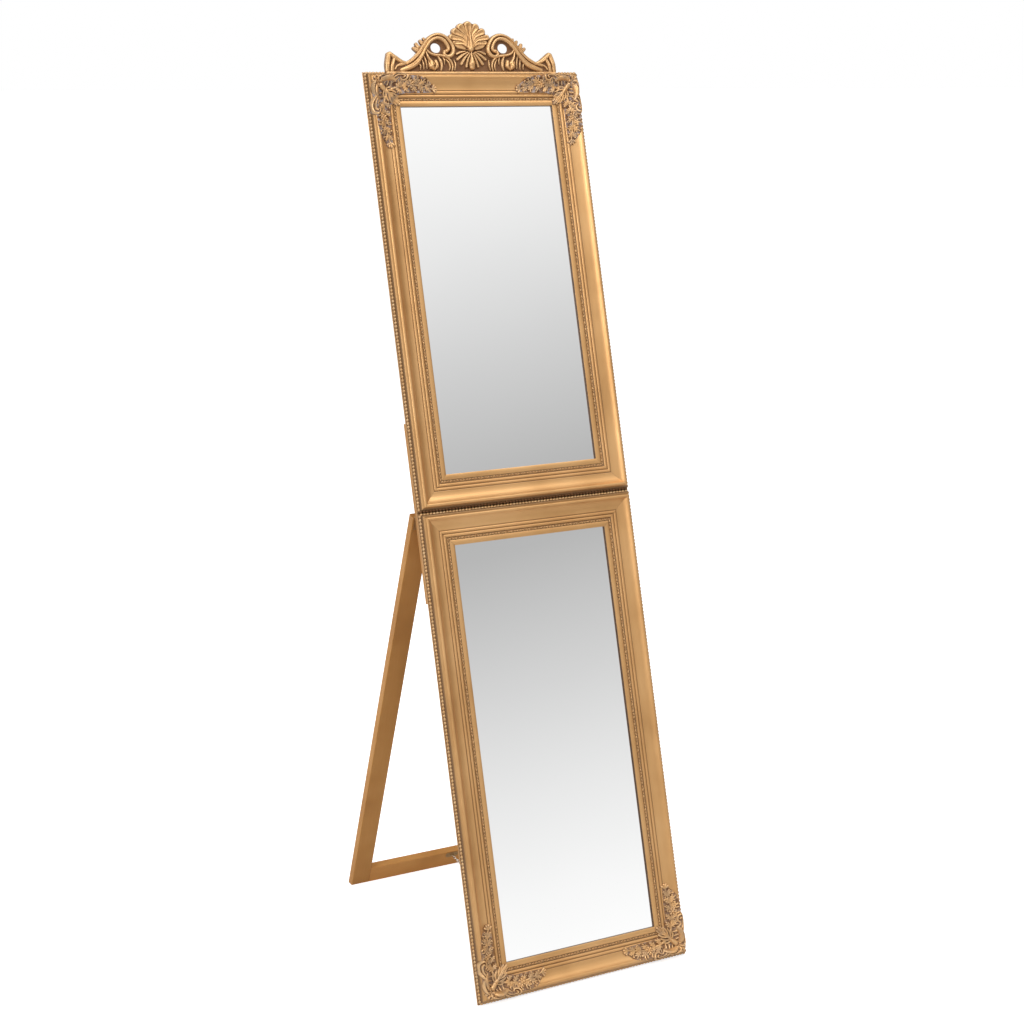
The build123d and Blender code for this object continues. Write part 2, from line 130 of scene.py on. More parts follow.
def face_outward(obj):
    work = bmesh.new()
    work.from_mesh(obj.data)
    bmesh.ops.recalc_face_normals(work, faces=work.faces)
    work.to_mesh(obj.data)
    work.free()


# ---------------------------------------------------------------- materials


class Tree:
    """A short way to write a node tree."""

    def __init__(self, tree):
        self.tree = tree

    def add(self, kind, **values):
        node = self.tree.nodes.new(kind)
        for key, value in values.items():
            setattr(node, key, value)
        return node

    def put(self, value, target):
        """Links a node's output to the target, or sets a number or colour on it."""
        if isinstance(value, bpy.types.NodeSocket):
            self.tree.links.new(value, target)
        elif isinstance(value, tuple) and target.type == "RGBA":
            target.default_value = (*value, 1)
        else:
            target.default_value = value

    def maths(self, operation, first, second=0.0):
        node = self.add("ShaderNodeMath", operation=operation)
        self.put(first, node.inputs[0])
        self.put(second, node.inputs[1])
        return node.outputs[0]

    def times(self, source, number):
        return self.maths("MULTIPLY", source, number)

    def mix(self, factor, first, second):
        node = self.add("ShaderNodeMix", data_type="RGBA")
        for value, target in zip((factor, first, second), (node.inputs[0], node.inputs[6], node.inputs[7])):
            self.put(value, target)
        return node.outputs[2]

    def ramp(self, source, *stops):
        node = self.add("ShaderNodeValToRGB")
        elements = node.color_ramp.elements
        while len(elements) < len(stops):
            elements.new(0.5)
        for element, (position, colour) in zip(elements, stops):
            element.position = position
            if isinstance(colour, (int, float)):
                colour = (colour, colour, colour)
            element.color = (*colour, 1)
        self.put(source, node.inputs["Fac"])
        return node.outputs["Color"]

    def stretch(self, source, start, end, low, high, **values):
        """Takes the range from start to end over to the range from low to high."""
        node = self.add("ShaderNodeMapRange", **values)
        names = ("Value", "From Min", "From Max", "To Min", "To Max")
        for name, value in zip(names, (source, start, end, low, high)):
            self.put(value, node.inputs[name])
        return node.outputs["Result"]


class Nodes(Tree):
    """The node tree of a new material."""

    def __init__(self, name):
        self.material = bpy.data.materials.new(name)
        self.material.use_nodes = True
        super().__init__(self.material.node_tree)
        self.shader = self.tree.nodes["Principled BSDF"]
        self.coords = self.add("ShaderNodeTexCoord").outputs["Object"]

    def mapped(self, scale):
        mapping = self.add("ShaderNodeMapping")
        self.put(self.coords, mapping.inputs["Vector"])
        self.put(scale, mapping.inputs["Scale"])
        return mapping.outputs["Vector"]

    def noise(self, scale, stretch=(1, 1, 1), detail=3, rough=0.55, distortion=0.0):
        node = self.add("ShaderNodeTexNoise")
        names = ("Vector", "Scale", "Detail", "Roughness", "Distortion")
        for name, value in zip(names, (self.mapped(stretch), scale, detail, rough, distortion)):
            self.put(value, node.inputs[name])
        return node.outputs["Fac"]

    def spread(self, source, low, high):
        """Most of a noise runs from 0.25 to 0.75."""
        return self.stretch(source, 0.25, 0.75, low, high)

    def attribute(self, name):
        return self.add("ShaderNodeAttribute", attribute_name=name).outputs["Fac"]

    def bump(self, *layers):
        """layers are (height, strength, distance in metres), the last one outermost."""
        normal = None
        for height, strength, distance in layers:
            node = self.add("ShaderNodeBump")
            for name, value in (("Strength", strength), ("Distance", distance), ("Height", height)):
                self.put(value, node.inputs[name])
            if normal:
                self.put(normal, node.inputs["Normal"])
            normal = node.outputs["Normal"]
        self.put(normal, self.shader.inputs["Normal"])

    def finish(self, colour, roughness, metallic):
        for name, value in (("Base Color", colour), ("Roughness", roughness), ("Metallic", metallic)):
            self.put(value, self.shader.inputs[name])
        return self.material


GOLD = (0.62, 0.345, 0.135)
GOLD_DEEP = (0.52, 0.275, 0.098)
GOLD_WARM = (0.67, 0.39, 0.165)
BROWN_WASH_AND_SHADE = (0.125, 0.048, 0.016)
DARK_WASH_AND_SHADE = (0.075, 0.034, 0.013)
GREY_WASH = (0.36, 0.30, 0.285)
TAN_WASH = (0.30, 0.205, 0.15)
GOLD_FLECK = (0.85, 0.60, 0.34)
HIGHLIGHT_AND_WORN_GOLD = (0.86, 0.59, 0.32)
GLAZE = (0.27, 0.185, 0.125)


def gilt(name, stretch, metallic=0.72, rough=0.38, specular=0.5, tint=(1, 1, 1)):
    """Satin metallic gold paint, laid on along the length of the piece."""
    deep, body, warm = (
        tuple(c * t for c, t in zip(gold, tint)) for gold in (GOLD_DEEP, GOLD, GOLD_WARM)
    )
    m = Nodes(name)
    m.shader.inputs["Specular IOR Level"].default_value = specular
    broad = m.noise(9, detail=2)
    streak = m.noise(60, stretch, detail=4)
    fleck = m.noise(1500, detail=2)
    colour = m.ramp(broad, (0.3, deep), (0.5, body), (0.7, warm))
    colour = m.mix(m.times(streak, 0.28), colour, deep)
    colour = m.mix(m.times(fleck, 0.12), colour, GOLD_FLECK)
    hollow = m.attribute("hollow")
    # hollow darkens the paint: dark wash and painted shade in the grooves, dark mitre joints, and painted
    # shade on some rims and the rabbet walls
    colour = m.mix(hollow, colour, DARK_WASH_AND_SHADE)
    roughness = m.spread(streak, rough - 0.05, rough + 0.08)
    shine = m.ramp(hollow, (0.0, metallic), (0.9, 0.1))
    m.bump((streak, 0.25, 0.00012), (fleck, 0.18, 0.00005))
    return m.finish(colour, roughness, shine)


def cast_gilt(name, wash_and_shade, wash_and_shade_colour, glaze=0.15, metallic=0.6, rough=0.36):
    """Cast resin in the same gold under a thin glaze, with a dark wash and painted shade in the hollows and a
    painted highlight on the ridges.
    """
    m = Nodes(name)
    broad = m.noise(30, detail=3)
    fleck = m.noise(900, detail=3)
    patch = m.noise(140, detail=4, rough=0.6)
    colour = m.ramp(broad, (0.3, GOLD_DEEP), (0.55, GOLD), (0.8, GOLD_WARM))
    colour = m.mix(m.times(fleck, 0.10), colour, GOLD_FLECK)
    veil = m.ramp(m.noise(75, detail=3), (0.42, 0.0), (0.60, glaze))
    colour = m.mix(veil, colour, GLAZE)
    # Raised parts are lighter: rubbed gold and a painted highlight.
    ridge = m.ramp(m.attribute("ridge"), (0.0, 0.0), (1.0, 1.0))  # held between 0 and 1
    colour = m.mix(m.times(ridge, 0.42), colour, HIGHLIGHT_AND_WORN_GOLD)
    # The hollows are darkened: dark wash and painted shade, from a cavity measure of the relief.
    hollow = m.attribute("hollow")
    shade = m.mix(m.ramp(patch, (0.46, 0.0), (0.62, 1.0)), BROWN_WASH_AND_SHADE, wash_and_shade_colour)
    dull = m.times(hollow, wash_and_shade)
    colour = m.mix(dull, colour, shade)
    roughness = m.ramp(dull, (0.0, rough), (1.0, 0.75))
    shine = m.ramp(dull, (0.0, metallic), (0.8, 0.05))
    m.shader.inputs["Specular IOR Level"].default_value = 0.35
    m.bump((patch, 0.2, 0.00025), (fleck, 0.3, 0.00008))
    return m.finish(colour, roughness, shine)


gilt_upright = gilt("gilt_upright", (6, 1, 0.12))
gilt_cross = gilt("gilt_cross", (0.12, 6, 6))
gilt_cast = cast_gilt("gilt_cast", 0.9, (0.10, 0.035, 0.012))
gilt_corners = {
    "upper": cast_gilt("gilt_corner_grey", 0.92, GREY_WASH, glaze=0.75),
    "lower": cast_gilt("gilt_corner_brown", 0.78, TAN_WASH, glaze=0.55),
}


def silver_glass():
    m = Nodes("mirror_silver")
    haze = m.noise(4, detail=1)
    colour = m.ramp(haze, (0.3, (0.957, 0.96, 0.958)), (0.7, (0.97, 0.972, 0.97)))
    return m.finish(colour, 0.012, 1.0)


def pressed_steel(name, colour, rough):
    m = Nodes(name)
    grain = m.noise(700, (1, 1, 0.2), detail=4)
    spangle = m.noise(160, detail=2)
    base = m.mix(m.times(spangle, 0.4), colour, tuple(0.75 * c for c in colour))
    m.bump((grain, 0.2, 0.00004))
    return m.finish(base, m.spread(grain, rough - 0.06, rough + 0.08), 0.95)


def hardboard():
    m = Nodes("hardboard_brown")
    fibre = m.noise(500, detail=6, rough=0.7)
    cloud = m.noise(12, detail=4)
    weave = m.add("ShaderNodeTexVoronoi")
    m.put(520, weave.inputs["Scale"])
    m.put(m.mapped((1, 1, 1)), weave.inputs["Vector"])
    base = m.ramp(cloud, (0.3, (0.20, 0.115, 0.055)), (0.7, (0.29, 0.175, 0.09)))
    base = m.mix(m.times(fibre, 0.5), base, (0.12, 0.065, 0.03))
    m.bump((weave.outputs["Distance"], 0.35, 0.0003), (fibre, 0.3, 0.0001))
    return m.finish(base, 0.78, 0.0)


def bare_wood():
    m = Nodes("bare_wood")
    grain = m.noise(40, (1, 10, 10), detail=6, rough=0.65, distortion=0.6)
    pore = m.noise(900, (0.1, 1, 1), detail=2)
    base = m.ramp(
        grain, (0.3, (0.50, 0.33, 0.17)), (0.55, (0.66, 0.47, 0.27)), (0.75, (0.58, 0.38, 0.2))
    )
    base = m.mix(m.times(pore, 0.25), base, (0.32, 0.19, 0.09))
    m.bump((grain, 0.2, 0.0002), (pore, 0.2, 0.0001))
    return m.finish(base, 0.6, 0.0)


glass = silver_glass()
zinc = pressed_steel("yellow_zinc_steel", (0.46, 0.31, 0.155), 0.42)
nickel = pressed_steel("nickel_wire", (0.70, 0.66, 0.60), 0.26)
board = hardboard()
raw_wood = bare_wood()
PLAIN_PAINT = {"metallic": 0.35, "rough": 0.5, "specular": 0.2}
# The legs and battens get a darker copy of the rail's paint: painted shade.
gilt_flat_shaded = gilt("gilt_flat_shaded", (5, 1, 0.10), tint=(0.82, 0.71, 0.50), **PLAIN_PAINT)
gilt_flat_cross = gilt("gilt_flat_cross", (0.10, 5, 5), tint=(1.0, 0.86, 0.60), **PLAIN_PAINT)

# ---------------------------------------------------------------- CAD nodes that stay
NODE_LOOKS = {
    glass: ("lower_mirror", "upper_mirror"),
    board: ("lower_backing_board", "upper_backing_board"),
    gilt_flat_shaded: ("left_stand_leg", "right_stand_leg", "left_batten", "right_batten"),
    gilt_flat_cross: ("stand_rail",),
    raw_wood: ("rail_dowels",),
    zinc: (
        "lower_corner_nails", "upper_corner_nails", "lower_glazing_points", "upper_glazing_points",
        "batten_screws", "left_fixed_leaf", "right_fixed_leaf", "left_hinge_pin", "right_hinge_pin",
        "fixed_leaf_screws", "left_moving_leaf", "right_moving_leaf", "moving_leaf_screws",
        "crest_straps", "crest_screws", "panel_chain_plate", "panel_plate_screws",
        "rail_chain_plate", "rail_plate_screws",
    ),
    gilt_cast: ("crest_pads",),
}
for look, names in NODE_LOOKS.items():
    for name in names:
        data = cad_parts[name].data
        if not data.materials:
            data.materials.append(look)
        for index in range(len(data.materials)):
            data.materials[index] = look

# ---------------------------------------------------------------- mouldings


def three_point_arc(first, through, last, steps):
    """Points from first to last along the circle through all three."""
    (ax, ay), (bx, by), (cx, cy) = first, through, last
    d = 2 * (ax * (by - cy) + bx * (cy - ay) + cx * (ay - by))
    sa, sb, sc = ax * ax + ay * ay, bx * bx + by * by, cx * cx + cy * cy
    ox = (sa * (by - cy) + sb * (cy - ay) + sc * (ay - by)) / d
    oy = (sa * (cx - bx) + sb * (ax - cx) + sc * (bx - ax)) / d
    radius = math.hypot(ax - ox, ay - oy)
    start = math.atan2(ay - oy, ax - ox)
    middle = math.atan2(by - oy, bx - ox)
    end = math.atan2(cy - oy, cx - ox)
    turn = (end - start) % math.tau
    if (middle - start) % math.tau > turn:
        turn -= math.tau
    angles = [start + turn * i / steps for i in range(1, steps + 1)]
    return [(ox + radius * math.cos(a), oy + radius * math.sin(a)) for a in angles]


# The section across a member: inset from the frame's rim, and height above its back.
FLARE = [(0, 3), (1.6, 3.2), (4.2, 9.6), (3.9, 10.4), (5.6, 14), (6.6, 14.3), (8.7, 17.4)]
profile = [(0, 0)] + FLARE
profile += three_point_arc((8.7, 17.4), (9.7, 20), (12.2, 21), 8)
profile += three_point_arc((12.2, 21), (14, 20.5), (15.2, 19.2), 5)
profile += three_point_arc((15.2, 19.2), (23.6, 12.9), (35.2, 10.6), 22)
profile += [(36.4, 9.8)]
profile += three_point_arc((36.4, 9.8), (39.5, 12), (42.6, 9.6), 10)
profile += [(43.3, 9.5)]
profile += three_point_arc((43.3, 9.5), (46.2, 11.4), (49.1, 9.2), 10)
profile += [(49.8, 8.6), (54.6, 8.3), (55, 9.2)]
profile += three_point_arc((55, 9.2), (60.5, 10), (65, 9), 8)
profile += [(65, 8.4), (65, 5), (57, 5), (57, 0)]


def softened(points, reach=0.35, limit=math.radians(25)):
    """The section with its sharp arrises rounded over."""
    result = []
    count = len(points)
    for i, point in enumerate(points):
        a, b, c = (np.array(points[(i + k) % count], float) for k in (-1, 0, 1))
        back, ahead = a - b, c - b
        la, lc = np.linalg.norm(back), np.linalg.norm(ahead)
        turn = math.pi - math.acos(np.clip(back @ ahead / (la * lc), -1, 1))
        if turn < limit:
            result.append(tuple(point))
            continue
        cut = min(reach, 0.35 * la, 0.35 * lc)
        p, q = b + back / la * cut, b + ahead / lc * cut
        for w in (0, 0.5, 1):
            result.append(tuple((1 - w) ** 2 * p + 2 * w * (1 - w) * b + w * w * q))
    return result


section = softened(profile)


def groove_depth(inset):
    """How much dark wash and painted shade the moulding's grooves get, from 0 to 1."""
    lines = (
        (1.7, 1.0, 0.75), (4.0, 0.9, 0.85), (5.2, 0.8, 0.75), (7.5, 0.5, 0.35),
        (36.3, 0.7, 0.8), (43.0, 0.6, 0.8), (49.6, 0.7, 0.9), (54.6, 0.5, 0.9),
    )
    return max(amount * math.exp(-(((inset - at) / width) ** 2)) for at, width, amount in lines)


MITRE_LINE = 0.5  # how far the dark line at each mitre spreads along the member
RIM_REACH = 8.0  # how far in from the edge the rim's painted shade goes
# Painted shade on each rim, darkest where the panels meet and the rims there lie in shadow.
RIM_PAINTED_SHADE = {
    ("upper", "bottom_rail"): 0.75,
    ("lower", "top_rail"): 0.55,
    ("upper", "left_stile"): 0.2,
    ("lower", "left_stile"): 0.25,
}
MITRE_WASH = 0.7
SIGHT_INSET, SIGHT_HEIGHT = 64.9, 8.6  # past this inset and below this height is the rabbet wall, which gets painted shade
PAINTED_HEIGHT = 2.0  # the lowest part of the section has no wash or painted shade


def member(panel, side):
    """One mitred member, with a ring of points at each mitre and another just inside it."""
    low, high = PANELS[panel]
    points, hollows = [], []
    for inset, height in section:
        left, right = -HALF_WIDTH + inset, HALF_WIDTH - inset
        bottom, top = low + inset, high - inset
        ends = {
            "left_stile": ((left, bottom), (left, top)),
            "right_stile": ((right, top), (right, bottom)),
            "top_rail": ((left, top), (right, top)),
            "bottom_rail": ((right, bottom), (left, bottom)),
        }
        start, end = (np.array(p) for p in ends[side])
        step = (end - start) / np.linalg.norm(end - start) * MITRE_LINE
        wash_and_shade = 0.0
        # The rabbet wall is painted fully dark, as painted shade.
        if inset > SIGHT_INSET and height < SIGHT_HEIGHT:
            wash_and_shade = 1.0
        elif height > PAINTED_HEIGHT:
            wash_and_shade = groove_depth(inset)
            # Painted shade on some rims, heaviest where the panels meet.
            if inset < RIM_REACH:
                wash_and_shade = max(wash_and_shade, RIM_PAINTED_SHADE.get((panel, side), 0.0))
        stations = ((start, MITRE_WASH), (start + step, 0.0), (end - step, 0.0), (end, MITRE_WASH))
        for (u, v), seam in stations:
            points.append(place(u, v, height))
            hollows.append(max(wash_and_shade, seam))
    count = len(section)
    faces = []
    for i in range(count):
        a, b = 4 * i, 4 * ((i + 1) % count)
        faces += [(a + k, b + k, b + k + 1, a + k + 1) for k in range(3)]
    faces.append(tuple(4 * i for i in reversed(range(count))))
    faces.append(tuple(4 * i + 3 for i in range(count)))
    look = gilt_cross if "rail" in side else gilt_upright
    name = f"{panel}_{side}_moulding"
    obj = new_object(name, points, faces, look, "mirrors", angle=24)
    paint(obj, hollow=hollows)
    face_outward(obj)
    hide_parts(f"{panel}_{side}")


for panel in PANELS:
    for side in ("left_stile", "right_stile", "top_rail", "bottom_rail"):
        member(panel, side)

# ---------------------------------------------------------------- bead rows
BEAD_PITCH = 6.6
BEAD_RADIUS = 2.9
BEAD_INSET = 2.95
BEAD_HEIGHT = 6.6
BEAD_NECK = 0.9  # the radius between two beads
BEAD_SIDES = 10
BEAD_CUTS = (-0.92, -0.76, -0.52, -0.22, 0.08, 0.38, 0.68, 0.92)  # along a bead, from -1 to 1
# Painted shade on the beads along the left, right, bottom and top of each panel, heaviest on the upper
# panel's bottom row where the panels meet.
BEAD_PAINTED_SHADE = {"lower": (0.2, 0.0, 0.0, 0.0), "upper": (0.25, 0.0, 0.85, 0.1)}


def bead_row(start, along, length, gap=None):
    """Turned beads on a thread, from start (u, v, n) along a unit (u, v) direction."""
    count = round(length / BEAD_PITCH)
    pitch = length / count
    points, faces = [], []
    across = np.array([-along[1], along[0], 0.0])
    outward = np.array([0.0, 0.0, 1.0])
    along = np.array([along[0], along[1], 0.0])
    last = None
    for k in range(count):
        centre = np.array(start, float) + along * pitch * (k + 0.5)
        if gap and gap[0] < centre[0] < gap[1]:
            last = None
            continue
        for cut in BEAD_CUTS:
            s = BEAD_RADIUS * cut / BEAD_CUTS[-1]
            radius = max(math.sqrt(max(BEAD_RADIUS**2 - s * s, 0)), BEAD_NECK)
            ring = list(range(len(points), len(points) + BEAD_SIDES))
            for j in range(BEAD_SIDES):
                angle = math.tau * j / BEAD_SIDES
                turned = math.cos(angle) * across + math.sin(angle) * outward
                points.append(place(*(centre + along * s + radius * turned)))
            if last:
                faces += [(last[j - 1], last[j], ring[j], ring[j - 1]) for j in range(BEAD_SIDES)]
            else:
                faces.append(tuple(reversed(ring)))
            last = ring
        if k == count - 1 or (gap and gap[0] < centre[0] + along[0] * pitch < gap[1]):
            faces.append(tuple(last))
    return points, faces


def all_beads(panel):
    low, high = PANELS[panel]
    side = HALF_WIDTH - BEAD_INSET
    bottom, top = low + BEAD_INSET, high - BEAD_INSET
    gap = CREST_REACH if panel == "upper" else None
    rows = [
        bead_row((-side, bottom, BEAD_HEIGHT), (0, 1), top - bottom),
        bead_row((side, bottom, BEAD_HEIGHT), (0, 1), top - bottom),
        bead_row((-side, bottom, BEAD_HEIGHT), (1, 0), 2 * side),
        bead_row((-side, top, BEAD_HEIGHT), (1, 0), 2 * side, gap),
    ]
    points, faces, hollows = [], [], []
    for (row_points, row_faces), wash_and_shade in zip(rows, BEAD_PAINTED_SHADE[panel]):
        faces += [tuple(i + len(points) for i in face) for face in row_faces]
        points += row_points
        hollows += [wash_and_shade] * len(row_points)
    name = f"{panel}_bead_rows"
    obj = new_object(name, points, faces, gilt_bead, "mirrors", angle=0)
    paint(obj, hollow=hollows)
    face_outward(obj)


def bead_gilt():
    """Gold with painted shade over some of the rows."""
    m = Nodes("gilt_beads")
    patch = m.noise(55, detail=3)
    colour = m.ramp(patch, (0.3, GOLD), (0.5, (0.64, 0.39, 0.18)), (0.7, (0.70, 0.47, 0.25)))
    fleck = m.noise(900, detail=2)
    colour = m.mix(m.times(fleck, 0.2), colour, (0.8, 0.56, 0.3))
    # painted shade on the rows that lie in shadow
    colour = m.mix(m.attribute("hollow"), colour, BROWN_WASH_AND_SHADE)
    m.bump((fleck, 0.2, 0.00006))
    return m.finish(colour, 0.38, 0.6)


gilt_bead = bead_gilt()
CREST_REACH = (span("crest")[0][0] - 1, span("crest")[1][0] + 1)
for panel in PANELS:
    all_beads(panel)

# ---------------------------------------------------------------- carving


def evenly(values, along):
    """A value that is given evenly along a path, at each share of the way."""
    values = np.atleast_1d(values)
    return np.interp(along, np.linspace(0, 1, len(values)), values)


def smooth_path(points, steps=6):
    """Samples of a Catmull-Rom line through the points."""
    p = np.array(points, float)
    p = np.vstack([2 * p[0] - p[1], p, 2 * p[-1] - p[-2]])
    samples = []
    for i in range(1, len(p) - 2):
        for t in np.arange(steps) / steps:
            samples.append(0.5 * (
                2 * p[i] + (p[i + 1] - p[i - 1]) * t
                + (2 * p[i - 1] - 5 * p[i] + 4 * p[i + 1] - p[i + 2]) * t**2
                + (3 * p[i] - 3 * p[i + 1] + p[i + 2] - p[i - 1]) * t**3
            ))
    samples.append(p[-2])
    return np.array(samples)


def blurred(field, cells):
    """The field after three box averages of the given width."""
    for _ in range(3):
        for axis in (0, 1):
            margin = [(cells + 1, cells) if k == axis else (0, 0) for k in (0, 1)]
            total = np.cumsum(np.pad(field, margin, "edge"), axis)
            width = 2 * cells + 1
            upper = np.take(total, range(width, total.shape[axis]), axis)
            lower = np.take(total, range(0, total.shape[axis] - width), axis)
            field = (upper - lower) / width
    return field


SKIRT = 2.4  # how steeply a relief falls away beside a ridge
FINE_DETAIL, BROAD_DETAIL = 1.6, 4.5  # mm, for telling hollows and ridges from the ground


class Carving:
    """A relief on a grid: the height of its surface and the distance outside its outline, in mm."""

    def __init__(self, x_span, y_span, step):
        self.step = step
        self.corner = np.array([x_span[0], y_span[0]], float)
        x = np.arange(x_span[0], x_span[1] + step / 2, step)
        y = np.arange(y_span[0], y_span[1] + step / 2, step)
        self.x, self.y = np.meshgrid(x, y, indexing="ij")
        self.height = np.full(self.x.shape, -9.0)
        self.outside = np.full(self.x.shape, 30.0)

    def window(self, path, reach):
        shape = np.array(self.x.shape)
        low = np.clip((path.min(0) - reach - self.corner) / self.step, 0, shape).astype(int)
        high = np.clip((path.max(0) + reach - self.corner) / self.step + 2, 0, shape).astype(int)
        return np.s_[low[0]:high[0], low[1]:high[1]]

    def nearest(self, path, win):
        x, y = self.x[win], self.y[win]
        best = np.full(x.shape, 1e9)
        along = np.zeros(x.shape)
        last = len(path) - 1
        for i in range(last):
            (ax, ay), (dx, dy) = path[i], path[i + 1] - path[i]
            t = np.clip(((x - ax) * dx + (y - ay) * dy) / max(dx * dx + dy * dy, 1e-9), 0, 1)
            gap = (x - ax - t * dx) ** 2 + (y - ay - t * dy) ** 2
            closer = gap < best
            best[closer] = gap[closer]
            along[closer] = (i + t[closer]) / last
        return np.sqrt(best), along

    def merge(self, win, body, outside, blend):
        old = self.height[win]
        share = np.clip(0.5 + 0.5 * (body - old) / blend, 0, 1)
        self.height[win] = old + (body - old) * share + blend * share * (1 - share)
        self.outside[win] = np.minimum(self.outside[win], outside)

    def ridge(self, points, radius, height, base=0.0, blend=0.5, fullness=0.5):
        """A rounded ridge along a curve, with its radius and height given evenly along it."""
        path = smooth_path(points)
        win = self.window(path, max(np.atleast_1d(radius)) + 6)
        gap, along = self.nearest(path, win)
        r, h, b = (evenly(values, along) for values in (radius, height, base))
        q = gap / r
        top = b + (h - b) * np.clip(1 - q * q, 0, 1) ** fullness
        self.merge(win, np.where(q < 1, top, b - SKIRT * (gap - r)), gap - r, blend)

    def bead(self, x, y, radius, height, base=0.0, blend=0.3):
        self.ridge([(x, y), (x + 0.02, y)], radius, height, base, blend)

    def groove(self, points, width, depth):
        path = smooth_path(points)
        win = self.window(path, 3 * max(np.atleast_1d(width)))
        gap, along = self.nearest(path, win)
        w, d = evenly(width, along), evenly(depth, along)
        self.height[win] -= d * np.exp(-((gap / w) ** 2))

    def fill(self, points, height, blend=0.5):
        """A flat ground inside a closed outline."""
        path = np.array(list(points) + [points[0]], float)
        win = self.window(path, 6)
        gap, _ = self.nearest(path, win)
        x, y = self.x[win], self.y[win]
        inside = np.zeros(x.shape, bool)
        for (ax, ay), (bx, by) in zip(path[:-1], path[1:]):
            if ay == by:
                continue
            crossing = (ay > y) != (by > y)
            inside ^= crossing & (x < ax + (y - ay) * (bx - ax) / (by - ay))
        signed = np.where(inside, -gap, gap)
        self.merge(win, height - SKIRT * np.maximum(signed, 0), signed, blend)

    def pierce(self, x, y, rx, ry):
        """A hole right through, as an ellipse."""
        q = np.hypot((self.x - x) / rx, (self.y - y) / ry)
        depth = (1 - q) * min(rx, ry)
        self.outside = np.maximum(self.outside, depth)

    def leaf(self, points, width, height, base=0.0, lobes=3, blend=0.4):
        """An acanthus leaf: lobes on both sides of a bent midrib that is sunk along its middle."""
        path = smooth_path(points, 8)
        reach = np.linalg.norm(np.diff(path, axis=0), axis=1).sum()
        widths = [width * 0.42, width * 0.58, width * 0.34]
        self.ridge(points, widths, [height * 0.9, height, height * 0.7], base, blend)
        for k in range(lobes):
            at = 0.14 + 0.60 * k / max(lobes - 1, 1)
            i = int(at * (len(path) - 1))
            ahead = path[min(i + 1, len(path) - 1)] - path[i]
            ahead /= np.linalg.norm(ahead)
            size = width * (0.92 - 0.5 * abs(at - 0.40))
            for hand in (-1, 1):
                out = hand * np.array([-ahead[1], ahead[0]])
                tip = path[i] + ahead * reach * 0.18 + out * size
                elbow = path[i] + ahead * reach * 0.05 + out * size * 0.6
                lobe = [path[i], elbow, tip]
                heights = [height * 0.85, height * 0.92, height * 0.72]
                self.ridge(lobe, [size * 0.26, size * 0.36, size * 0.30], heights, base, blend)
                self.groove(lobe, [0.3, 0.45, 0.3], [0.3, 0.8, 0.3])
        self.groove(points, [0.5, 0.65, 0.35], [0.9, 1.5, 0.4])

    def mirrored(self, kind):
        """Copies the carved half across x = 0, or across the diagonal."""
        flip = (lambda f: f[::-1]) if kind == "left" else (lambda f: f.T)
        self.height = np.maximum(self.height, flip(self.height))
        self.outside = np.minimum(self.outside, flip(self.outside))

    def solid(self, floor):
        """The relief's closed surface: points, quads, and each point's hollow and ridge."""
        step = self.step
        z = np.arange(floor - 2 * step, self.height.max() + 2.5 * step, step)
        gx, gy = np.gradient(self.height, step)
        lean = np.sqrt(1 + np.minimum(gx * gx + gy * gy, 16))
        field = np.maximum((z - self.height[..., None]) / lean[..., None], self.outside[..., None])
        field = np.maximum(field, floor - z).astype(np.float32)
        points, faces = surface_net(field, np.array([*self.corner, z[0]]), step)
        shown = np.clip(self.height, 0, None)
        detail = blurred(shown, int(FINE_DETAIL / step)) - shown
        wide = blurred(shown, int(BROAD_DETAIL / step)) - shown
        hollow = np.clip(detail * 0.55 + wide * 0.22, 0, 1)
        raised = np.clip(-detail * 0.9, 0, 1)
        grid = (points[:, :2] - self.corner) / step
        cell = np.clip(grid.astype(int), 0, np.array(self.x.shape) - 2)
        part = grid - cell
        values = []
        for layer in (hollow, raised):
            i, j = cell.T
            s, t = part.T
            values.append(
                layer[i, j] * (1 - s) * (1 - t) + layer[i + 1, j] * s * (1 - t)
                + layer[i, j + 1] * (1 - s) * t + layer[i + 1, j + 1] * s * t
            )
        return points, faces, values[0], values[1]


